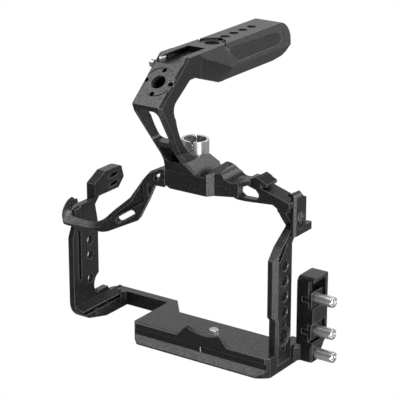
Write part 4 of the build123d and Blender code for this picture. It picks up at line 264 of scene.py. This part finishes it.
def thread_tree():
    """The tree that sweeps a thread from its turns, length, radius and ridge."""
    tree = bpy.data.node_groups.new("thread", "GeometryNodeTree")
    for name, kind in (
        ("Turns", "NodeSocketFloat"),
        ("Length", "NodeSocketFloat"),
        ("Radius", "NodeSocketFloat"),
        ("Ridge", "NodeSocketFloat"),
        ("Finish", "NodeSocketMaterial"),
    ):
        tree.interface.new_socket(name, in_out="INPUT", socket_type=kind)
    tree.interface.new_socket("Geometry", in_out="OUTPUT", socket_type="NodeSocketGeometry")
    inputs = tree.nodes.new("NodeGroupInput")
    output = tree.nodes.new("NodeGroupOutput")
    spiral = tree.nodes.new("GeometryNodeCurveSpiral")
    spiral.inputs["Resolution"].default_value = STEPS_PER_TURN
    ridge = tree.nodes.new("GeometryNodeCurvePrimitiveCircle")
    ridge.inputs["Resolution"].default_value = 4  # four points make a square
    sweep = tree.nodes.new("GeometryNodeCurveToMesh")
    sweep.inputs["Fill Caps"].default_value = True
    realize = tree.nodes.new("GeometryNodeRealizeInstances")
    paint = tree.nodes.new("GeometryNodeSetMaterial")
    links = tree.links
    links.new(inputs.outputs["Turns"], spiral.inputs["Rotations"])
    links.new(inputs.outputs["Length"], spiral.inputs["Height"])
    links.new(inputs.outputs["Radius"], spiral.inputs["Start Radius"])
    links.new(inputs.outputs["Radius"], spiral.inputs["End Radius"])
    links.new(inputs.outputs["Ridge"], ridge.inputs["Radius"])
    links.new(spiral.outputs["Curve"], sweep.inputs["Curve"])
    links.new(ridge.outputs["Curve"], sweep.inputs["Profile Curve"])
    links.new(sweep.outputs["Mesh"], realize.inputs["Geometry"])
    links.new(realize.outputs["Geometry"], paint.inputs["Geometry"])
    links.new(inputs.outputs["Finish"], paint.inputs["Material"])
    links.new(paint.outputs["Geometry"], output.inputs["Geometry"])
    return tree


THREAD = thread_tree()


def placed(name, data):
    """A new object that shows the data, linked into the scene."""
    obj = bpy.data.objects.new(name, data)
    bpy.context.collection.objects.link(obj)
    return obj


def settle(obj, name):
    """Turns an object with live modifiers into a plain mesh object of that name."""
    bpy.context.view_layer.update()
    shown = obj.evaluated_get(bpy.context.evaluated_depsgraph_get())
    mesh = bpy.data.meshes.new_from_object(shown)
    bpy.data.objects.remove(obj)
    return placed(name, mesh)


def tree_object(tree, values):
    """A new object that carries the tree, with its inputs set by identifier."""
    obj = placed("live", bpy.data.meshes.new("live"))
    modifier = obj.modifiers.new("tree", "NODES")
    modifier.node_group = tree
    for item in tree.interface.items_tree:
        if item.in_out == "INPUT" and item.name in values:
            modifier[item.identifier] = values[item.name]
    return obj


def thread(name, start, along, radius, length, pitch, finish, body, fullness=0.5):
    """A thread of that radius from start, along a direction; all lengths in millimetres."""
    ridge = pitch * fullness
    obj = tree_object(
        THREAD,
        {
            "Turns": length / pitch,
            "Length": length * MM,
            "Radius": radius * MM,
            "Ridge": ridge * MM,
            "Finish": finish,
        },
    )
    piece = settle(obj, name)
    turn = Vector((0, 0, 1)).rotation_difference(Vector(along))
    piece.data.transform(Matrix.Translation(Vector(start) * MM) @ turn.to_matrix().to_4x4())
    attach(piece, body)
    return piece


print("thread tree:", len(THREAD.nodes), "nodes")

# %% [markdown]
# ## Threads in the holes and on the camera screw
#
# The small holes take 1/4 inch screws and the large ones 3/8 inch. In a hole the square is centred
# on the bore's wall, so half of it stands inwards as the ridge. On the camera screw it is sunk
# deeper, and only its crest stands out of the shank.

# %% Threads in the holes and on the camera screw
HANDLE_X = -18.2
QUARTER = (3.175, 1.27)  # radius and pitch of a 1/4 inch thread
THREE_EIGHTHS = (4.7625, 1.5875)
FACE_BOTTOM = (HANDLE_X, -26.66, 178.69)
FACE_OUT = (0, -0.6566, 0.7542)
UP = (0, 0, 1)
RIGHT = (1, 0, 0)

HOLES_IN_ROW = 4
PORT_X, PORT_Y = 40.9, 9.3  # where the threads of the port wall start, and their upright line
PORT_HOLE_Z, PORT_HOLE_PITCH = 38.8, 10.167
PORT_LENGTH = 4.4
HANDLE_HOLE_Y, HANDLE_HOLE_PITCH = 38.5, 10.0
HANDLE_HOLE_FLOOR = 190.4
HANDLE_LENGTH = 6.8
GRIP_X, GRIP_Y = -104.6, 4.8  # the same for the grip wall
SIDE_HOLES_Z = (29.0, 45.6, 55.7)
GRIP_LENGTH = 3.0

hole_threads = [
    ("port_locating_thread", (PORT_X, PORT_Y, 22.3), RIGHT, THREE_EIGHTHS, PORT_LENGTH),
    ("handle_top_thread", (HANDLE_X, 24.5, 189.0), UP, THREE_EIGHTHS, 7.0),
    ("handle_front_thread", FACE_BOTTOM, FACE_OUT, THREE_EIGHTHS, 7.6),
    ("shoe_floor_thread", (HANDLE_X, 0.0, 188.2), UP, THREE_EIGHTHS, 5.0),
    ("under_thread_left", (-38.0, 7.0, 0.8), UP, QUARTER, 6.4),
    ("under_thread_right", (28.0, 7.0, 0.8), UP, QUARTER, 6.4),
]
for number in range(HOLES_IN_ROW):
    port_hole = (PORT_X, PORT_Y, PORT_HOLE_Z + PORT_HOLE_PITCH * number)
    handle_y = HANDLE_HOLE_Y + HANDLE_HOLE_PITCH * number
    handle_hole = (HANDLE_X, handle_y, HANDLE_HOLE_FLOOR)
    hole_threads.append((f"port_thread_{number}", port_hole, RIGHT, QUARTER, PORT_LENGTH))
    hole_threads.append((f"handle_thread_{number}", handle_hole, UP, QUARTER, HANDLE_LENGTH))
for height in SIDE_HOLES_Z:
    grip_hole = (GRIP_X, GRIP_Y, height)
    hole_threads.append((f"grip_thread_{height:.0f}", grip_hole, RIGHT, QUARTER, GRIP_LENGTH))
for name, start, along, (radius, pitch), length in hole_threads:
    thread(name, start, along, radius, length, pitch, bore_black, "cage")
SCREW_THREAD_FOOT = (0, 0, 13.6)
SCREW_THREAD_R = 3.05  # the shank's own radius is 3.175
SCREW_THREAD_LENGTH = 5.4
SCREW_THREAD_FULLNESS = 0.28
thread(
    "camera_screw_thread",
    SCREW_THREAD_FOOT,
    UP,
    SCREW_THREAD_R,
    SCREW_THREAD_LENGTH,
    QUARTER[1],
    turned_steel,
    "camera_screw",
    SCREW_THREAD_FULLNESS,
)
print("threads in holes:", len(hole_threads), "and one on the camera screw")

# %% [markdown]
# ## Carved copies
#
# Four pieces of the real cage have forms that their CAD solids lack, and the solids stay as they
# are. A copy of the solid is cut with prisms, gets other solids joined on where that is needed,
# and stands for it. Boolean modifiers do this, so each cut is only an outline and a depth.

# %% Carving helpers
ALONG_Y, ALONG_Z = 1, 2
MERGE = 0.001 * MM
SHARP_ANGLE = radians(28)


def finished(builder, name):
    """The builder's faces as a mesh of that name; frees the builder."""
    mesh = bpy.data.meshes.new(name)
    builder.to_mesh(mesh)
    builder.free()
    return mesh


def prism(outline, along, low, high):
    """Closed mesh of an outline (two coordinates) pushed along an axis from low to high, in mm."""
    builder = bmesh.new()
    ends = []
    for level in (low, high):
        points = [(*point[:along], level, *point[along:]) for point in outline]
        ends.append([builder.verts.new(Vector(point) * MM) for point in points])
    builder.faces.new(ends[0])
    builder.faces.new(ends[1])
    for step in range(len(outline)):
        after = (step + 1) % len(outline)
        builder.faces.new((ends[0][step], ends[0][after], ends[1][after], ends[1][step]))
    bmesh.ops.recalc_face_normals(builder, faces=builder.faces)
    return placed("prism", finished(builder, "prism"))


def carved(name, node, body, slot, cutters, joined=()):
    """A merged copy of a CAD node with prisms cut away and solids joined on; it stands for it."""
    builder = bmesh.new()
    builder.from_mesh(nodes[node].data)
    bmesh.ops.remove_doubles(builder, verts=builder.verts, dist=MERGE)
    mesh = finished(builder, name)
    mesh.materials.append(FINISHES[slot])
    live = placed("live", mesh)
    for operation, tools in (("DIFFERENCE", cutters), ("UNION", joined)):
        for tool in tools:
            change = live.modifiers.new(operation, "BOOLEAN")
            change.operation = operation
            change.solver = "EXACT"
            change.object = tool
    piece = settle(live, name)
    for used in (*cutters, *joined):
        bpy.data.objects.remove(used)
    # edges are sharp or smooth by their angle, not by the normals stored with the CAD mesh
    normals = piece.data.attributes.get("custom_normal")
    if normals:
        piece.data.attributes.remove(normals)
    piece.data.shade_smooth()
    piece.data.set_sharp_from_angle(angle=SHARP_ANGLE)
    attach(piece, body)
    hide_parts(node)
    return piece


print("carving helpers ready")

# %% [markdown]
# ## The eye of the top frame
#
# On the top frame the web of the beam has a large eye, and the lobe beside it steps back so that
# the eye is open to the left end. The dressed frame is a copy of the CAD solid with three prisms
# cut away: the lobe's foot in front of the web, what stands behind the web, and the eye itself.

# %% Top frame with its eye cut free
WEB = (8.0, 12.5)  # front and back of the beam's web
EYE_LOW = 104.0
NECK_UNDER = 116.8
EYE = [
    (12.4, 113.0), (13.6, 115.6), (16.6, 116.8), (25.0, 114.6), (27.4, 112.0),
    (27.2, 109.6), (25.6, 108.2), (16.0, 107.9), (13.2, 109.8),
]  # fmt: skip
LOBE_FOOT = [(18.3, -1.2), (22.0, WEB[0]), (14.6, WEB[0])]
BEHIND_WEB = [(11.0, WEB[1]), (22.0, WEB[1]), (22.0, 18.0), (11.0, 18.0)]
free_eye = [
    prism(LOBE_FOOT, ALONG_Z, EYE_LOW, NECK_UNDER),
    prism(BEHIND_WEB, ALONG_Z, EYE_LOW, NECK_UNDER),
    prism(EYE, ALONG_Y, WEB[0] - 0.5, WEB[1] + 0.5),
]
dressed_frame = carved("top_frame_dressed", "top_frame", "cage", "black_anodised", free_eye)
print("top frame:", len(dressed_frame.data.polygons), "faces")

# %% [markdown]
# ## The corners of the base and the ledge of the arm
#
# The rim of the base has bevelled front corners. The bevel on the port side continues the one that
# runs down the front of the port wall. The ledge of the grip arm slopes towards its inside. These
# faces are all flat, so one prism takes away what stands in front of each.

# %% Base with bevelled corners and arm with a sloping ledge
FULL_HEIGHT = (-0.5, 13.5)
corners_off = [
    prism([(43.2, -9.7), (46.6, -9.7), (46.6, -6.2)], ALONG_Z, *FULL_HEIGHT),
    prism([(-57.6, -12.1), (-51.6, -12.1), (-57.6, -6.1)], ALONG_Z, *FULL_HEIGHT),
]
dressed_base = carved("base_plate_dressed", "base_plate", "cage", "black_anodised", corners_off)
ledge_off = [prism([(-101.2, 11.1), (-94.9, 11.1), (-94.9, 8.2)], ALONG_Y, -14.0, 31.0)]
dressed_arm = carved("grip_arm_dressed", "grip_arm", "cage", "black_anodised", ledge_off)
print("base and arm:", len(dressed_base.data.polygons), len(dressed_arm.data.polygons), "faces")

# %% [markdown]
# ## The collar's band
#
# The finger rest is one ribbon. It starts as an upright horn on the side wall, turns the corner
# while it lays itself down to a slope, and rises again where it meets the slanted arm. Each
# station gives four corners of its section: outer low, outer high, inner high and inner low. A
# smooth curve runs through all of them, because straight pieces would show as facets.

# %% Sweep helpers


def eased(before, start, end, after, share):
    """Point on the smooth (Catmull-Rom) curve between start and end."""
    return 0.5 * (
        2 * start
        + (end - before) * share
        + (2 * before - 5 * start + 4 * end - after) * share**2
        + (3 * start - before - 3 * end + after) * share**3
    )


def swept(stations, steps):
    """Closed mesh whose four-cornered section runs smoothly through the stations, in mm."""
    padded = [stations[0], *stations, stations[-1]]
    rows = []
    for number in range(len(stations) - 1):
        around = padded[number : number + 4]
        for step in range(steps):
            row = []
            for corner in range(4):
                points = [Vector(place[corner]) for place in around]
                row.append(eased(*points, step / steps))
            rows.append(row)
    rows.append([Vector(corner) for corner in stations[-1]])
    builder = bmesh.new()
    rings = [[builder.verts.new(point * MM) for point in row] for row in rows]
    for one, two in zip(rings, rings[1:]):
        for corner in range(4):
            after = (corner + 1) % 4
            builder.faces.new((one[corner], one[after], two[after], two[corner]))
    builder.faces.new(rings[0])
    builder.faces.new(rings[-1])
    bmesh.ops.triangulate(builder, faces=builder.faces)
    bmesh.ops.recalc_face_normals(builder, faces=builder.faces)
    mesh = finished(builder, "swept")
    mesh.materials.append(FINISHES["black_anodised"])
    return placed("swept", mesh)


print("sweep helpers ready")

# %% [markdown]
# ## The collar
#
# The angular band of the solid is cut away and the swept one joined on. What is left of the ear at
# the wall, with its screws, is hidden under a ramped cover.

# %% Collar with a swept band
BAND = [
    ((-104.6, -6.4, 84.4), (-104.6, -8.6, 89.2), (-102.2, -7.4, 87.2), (-101.6, -6.0, 83.2)),
    ((-104.9, -12.6, 78.6), (-104.9, -13.6, 87.6), (-101.2, -11.6, 84.2), (-100.7, -10.0, 78.6)),
    ((-104.7, -17.6, 76.2), (-104.8, -18.4, 82.4), (-100.6, -14.6, 81.6), (-100.2, -12.2, 75.8)),
    ((-102.6, -20.6, 75.1), (-102.9, -20.8, 77.8), (-99.0, -16.6, 80.4), (-98.2, -13.6, 75.2)),
    ((-98.6, -21.8, 74.8), (-98.7, -21.9, 76.4), (-95.6, -17.6, 79.9), (-95.0, -14.6, 75.2)),
    ((-90.3, -22.0, 75.3), (-90.6, -22.0, 76.6), (-88.2, -18.0, 79.6), (-87.0, -15.2, 75.6)),
    ((-80.0, -22.0, 75.6), (-80.0, -22.0, 77.0), (-79.6, -18.2, 80.0), (-79.0, -15.2, 76.0)),
    ((-73.0, -22.0, 76.0), (-73.2, -22.0, 78.9), (-73.2, -17.6, 82.6), (-73.0, -15.0, 76.8)),
    ((-68.6, -21.9, 76.6), (-69.0, -21.9, 82.9), (-69.2, -16.4, 85.8), (-68.8, -15.0, 77.4)),
    ((-64.6, -21.0, 78.0), (-64.8, -21.0, 87.4), (-65.2, -15.0, 88.0), (-64.8, -14.8, 78.4)),
]
STEPS_PER_STATION = 16
BAND_ZONE = (70.0, 95.0)  # from below the band to above it
IN_FRONT = -25  # a place in front of the whole band
EAR_SPAN = (-101.1, -98.3)  # the thickness of the ear and 0.1 more on each side
EAR_SIDE, EAR_FRONT = -98.38, -18.92  # just past the ear's inner side and its front
EAR_COVER = [(-101.0, -14.0), (-98.0, -14.0), (-98.0, -8.6), (-101.0, -4.0)]


def upright(left, right, front, back):
    """Block between these sides, from below the band to above it."""
    outline = [(left, front), (right, front), (right, back), (left, back)]
    return prism(outline, ALONG_Z, *BAND_ZONE)


band_off = [
    upright(-106, -101.02, IN_FRONT, 0),
    upright(*EAR_SPAN, IN_FRONT, EAR_FRONT),
    upright(*EAR_SPAN, EAR_FRONT, -12.8),
    upright(EAR_SIDE, -66, IN_FRONT, -12),
]
ear_cover = prism(EAR_COVER, ALONG_Z, 71.0, 82.9)
joined_on = [swept(BAND, STEPS_PER_STATION), ear_cover]
dressed_collar = carved(
    "grip_collar_dressed", "grip_collar", "cage", "black_anodised", band_off, joined_on
)
print("collar:", len(dressed_collar.data.polygons), "faces")

# %% [markdown]
# ## Shapes for small pieces
#
# A painted mark is a thin box, and a screw's head is a profile turned about its axis. Both are
# built with bmesh from a few numbers, so their sizes can be read in the call.

# %% Shape helpers


def solid(name, shape, finish, body):
    """A closed piece made by shape(mesh builder), on a body and in a material slot."""
    builder = bmesh.new()
    shape(builder)
    bmesh.ops.recalc_face_normals(builder, faces=builder.faces)
    mesh = finished(builder, name)
    mesh.materials.append(finish)
    piece = placed(name, mesh)
    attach(piece, body)
    return piece


def slab(low, high):
    """Shape of a plain box between two corners in millimetres."""

    def shape(builder):
        bmesh.ops.create_cube(builder, size=1.0)
        low_point, high_point = Vector(low), Vector(high)
        for vertex in builder.verts:
            for axis in range(3):
                middle = (low_point[axis] + high_point[axis]) / 2
                width = high_point[axis] - low_point[axis]
                vertex.co[axis] = (middle + vertex.co[axis] * width) * MM

    return shape


def lathe(profile, start, along, segments=32):
    """Shape turned from (distance, radius) pairs about an axis through start."""
    turn = Vector((0, 0, 1)).rotation_difference(Vector(along)).to_matrix()

    def shape(builder):
        rings = []
        for distance, radius in profile:
            ring = []
            for step in range(segments):
                angle = 2 * pi * step / segments
                point = Vector((radius * cos(angle), radius * sin(angle), distance))
                ring.append(builder.verts.new((turn @ point + Vector(start)) * MM))
            rings.append(ring)
        for inner, outer in zip(rings, rings[1:]):
            for step in range(segments):
                after = (step + 1) % segments
                builder.faces.new((inner[step], inner[after], outer[after], outer[step]))
        builder.faces.new(rings[0])
        builder.faces.new(rings[-1])

    return shape


print("shape helpers ready")

# %% [markdown]
# ## The index mark and the side screw
#
# Two pieces are made here only. A white index mark stands on the waist of the base. A little
# screw with a hollow head sits on the left of the handle's head.

# %% Index mark and side screw
mark_paint = grained("mark_paint", (0.80, 0.80, 0.80), (0.68, 0.68, 0.68), 0.5, 0.4 * MM)
INDEX_MARK = ((-4.9, -8.03, 5.6), (-4.3, -7.95, 8.9))
mark = solid("index_mark", slab(*INDEX_MARK), mark_paint, "cage")
SIDE_SCREW_SEAT = (-29.1, -20.0, 191.8)
SIDE_SCREW = [(0.0, 2.4), (2.7, 2.4), (3.2, 1.9), (3.2, 1.2), (1.6, 1.1)]
side_screw = solid(
    "handle_side_screw",
    lathe(SIDE_SCREW, SIDE_SCREW_SEAT, (-1, 0, 0)),
    turned_steel,
    "cage",
)
print("small pieces:", mark.name, side_screw.name)

# %% [markdown]
# ## The studio
#
# The cage stands on a floor that the camera sees as plain white, while the light that falls on it
# meets a grey paint. White paint would throw more light back up at the cage. A card lies on the
# floor at the front right. The camera sees it as white as the floor, but mirrored rays see it
# brighter, and it draws the light line along the upright bevels.

# %% Floor and card
CARD_LEVEL = 3.5  # how bright the card looks in a mirrored ray
MIRRORED = 0.16  # share of the camera's white that mirrored rays see
FLOOR_PAINT = (0.20, 0.20, 0.20, 1)
FLOOR_HALF = 3.0
CARD_LIFT = 0.0005
CARD = [(0.09, -0.02), (0.09, -0.08), (0.42, -0.26), (0.42, -0.06)]


def seen_directly(tree):
    """1 for rays from the camera, less for mirrored ones, 0 for those that only carry light."""
    path = tree.nodes.new("ShaderNodeLightPath")
    mirrored = tree.nodes.new("ShaderNodeMath")
    mirrored.operation = "MULTIPLY"
    mirrored.inputs[1].default_value = MIRRORED
    either = tree.nodes.new("ShaderNodeMath")
    either.operation = "MAXIMUM"
    tree.links.new(path.outputs["Is Glossy Ray"], mirrored.inputs[0])
    tree.links.new(path.outputs["Is Camera Ray"], either.inputs[0])
    tree.links.new(mirrored.outputs["Value"], either.inputs[1])
    return either.outputs["Value"]


def white_backdrop():
    """White for the camera, a grey paint for the light that falls on it."""
    material = bpy.data.materials.new("studio_floor")
    material.use_nodes = True
    tree = material.node_tree
    tree.nodes.clear()
    output = tree.nodes.new("ShaderNodeOutputMaterial")
    paint = tree.nodes.new("ShaderNodeBsdfDiffuse")
    paint.inputs["Color"].default_value = FLOOR_PAINT
    glow = tree.nodes.new("ShaderNodeEmission")
    glow.inputs["Strength"].default_value = 1.0
    mixer = tree.nodes.new("ShaderNodeMixShader")
    tree.links.new(seen_directly(tree), mixer.inputs["Fac"])
    tree.links.new(paint.outputs["BSDF"], mixer.inputs[1])
    tree.links.new(glow.outputs["Emission"], mixer.inputs[2])
    tree.links.new(mixer.outputs["Shader"], output.inputs["Surface"])
    return material


def card_glow():
    """White for the camera, brighter in mirrored rays, dark for all others."""
    material = bpy.data.materials.new("reflector_card")
    material.use_nodes = True
    tree = material.node_tree
    tree.nodes.clear()
    output = tree.nodes.new("ShaderNodeOutputMaterial")
    glow = tree.nodes.new("ShaderNodeEmission")
    path = tree.nodes.new("ShaderNodeLightPath")
    strength = tree.nodes.new("ShaderNodeMath")
    strength.operation = "MULTIPLY_ADD"
    strength.inputs[1].default_value = CARD_LEVEL
    tree.links.new(path.outputs["Is Glossy Ray"], strength.inputs[0])
    tree.links.new(path.outputs["Is Camera Ray"], strength.inputs[2])
    tree.links.new(strength.outputs["Value"], glow.inputs["Strength"])
    tree.links.new(glow.outputs["Emission"], output.inputs["Surface"])
    return material


def sheet(name, corners, material):
    """A flat sheet with four corners."""
    mesh = bpy.data.meshes.new(name)
    mesh.from_pydata(corners, [], [(0, 1, 2, 3)])
    mesh.materials.append(material)
    return placed(name, mesh)


corners = [(x * FLOOR_HALF, y * FLOOR_HALF, 0) for x, y in ((-1, -1), (1, -1), (1, 1), (-1, 1))]
floor = sheet("floor", corners, white_backdrop())
card = sheet("card", [(x, y, CARD_LIFT) for x, y in CARD], card_glow())
print("floor and card laid")

# %% [markdown]
# ## The room
#
# The world is as white as the floor to the camera, much darker in mirrored rays, and gives only a
# little light of its own. A room that shone as bright as it looks would flatten the black metal.

# %% World
ROOM_FILL = 0.03  # strength of the world for rays that only carry light
world = bpy.data.worlds.new("studio")
bpy.context.scene.world = world
world.use_nodes = True
sky = world.node_tree
sky.nodes.clear()
sky_output = sky.nodes.new("ShaderNodeOutputWorld")
background = sky.nodes.new("ShaderNodeBackground")
background.inputs["Color"].default_value = (1, 1, 1, 1)
level = sky.nodes.new("ShaderNodeMapRange")
level.inputs["To Min"].default_value = ROOM_FILL
level.inputs["To Max"].default_value = 1.0
sky.links.new(seen_directly(sky), level.inputs["Value"])
sky.links.new(level.outputs["Result"], background.inputs["Strength"])
sky.links.new(background.outputs["Background"], sky_output.inputs["Surface"])
print("world:", world.name)

# %% [markdown]
# ## The lamps
#
# Soft square lamps light the planes of the cage to different tones. As the camera sees them, they
# stand overhead, behind, to the left, to the right, and low at the front right.

# %% Lamps
CAGE_MIDDLE = Vector((-0.02, 0.01, 0.09))


def lamp(name, azimuth, elevation, distance, size, power):
    """A soft square lamp that looks at the middle of the cage."""
    data = bpy.data.lights.new(name, "AREA")
    data.size = size
    data.energy = power
    obj = placed(name, data)
    turn, lift = radians(azimuth), radians(elevation)
    away = Vector((sin(turn) * cos(lift), -cos(turn) * cos(lift), sin(lift)))
    obj.location = CAGE_MIDDLE + away * distance
    obj.rotation_euler = (-away).to_track_quat("-Z", "Y").to_euler()
    return obj


# azimuth and elevation in degrees, distance and size in metres, power in watts
lamp("top_lamp", 60, 82, 1.1, 0.9, 13)
lamp("back_lamp", 214, 26, 1.8, 1.0, 3.0)
lamp("right_lamp", 141, 20, 1.4, 0.8, 7.5)
lamp("front_lamp", -58, 50, 1.1, 0.5, 5.2)
lamp("side_lamp", 64, 1, 1.1, 0.3, 15)
print("lamps set:", len(bpy.data.lights))

# %% [markdown]
# ## The camera
#
# A long lens stands at the front right and a little above. From that far away the uprights stay
# nearly parallel.

# %% Camera
LENS_LENGTH = 162.0
SENSOR_WIDTH = 36.0
CAMERA_PLACE = (0.5837, -0.8612, 0.4747)
lens = bpy.data.cameras.new("portrait")
lens.lens = LENS_LENGTH
lens.sensor_width = SENSOR_WIDTH
eye = placed("portrait", lens)
right = Vector((0.8231, 0.5678, 0.0))
up = Vector((-0.1900, 0.2754, 0.9424)).normalized()
back = right.cross(up).normalized()
turn = Matrix((right, back.cross(right).normalized(), back)).transposed()
eye.matrix_world = Matrix.Translation(CAMERA_PLACE) @ turn.to_4x4()
bpy.context.scene.camera = eye
bpy.context.scene.view_settings.view_transform = "Standard"
print("camera at", [round(value, 3) for value in eye.location])

# %% [markdown]
# ## The end
#

# %% The end
print("scene built")
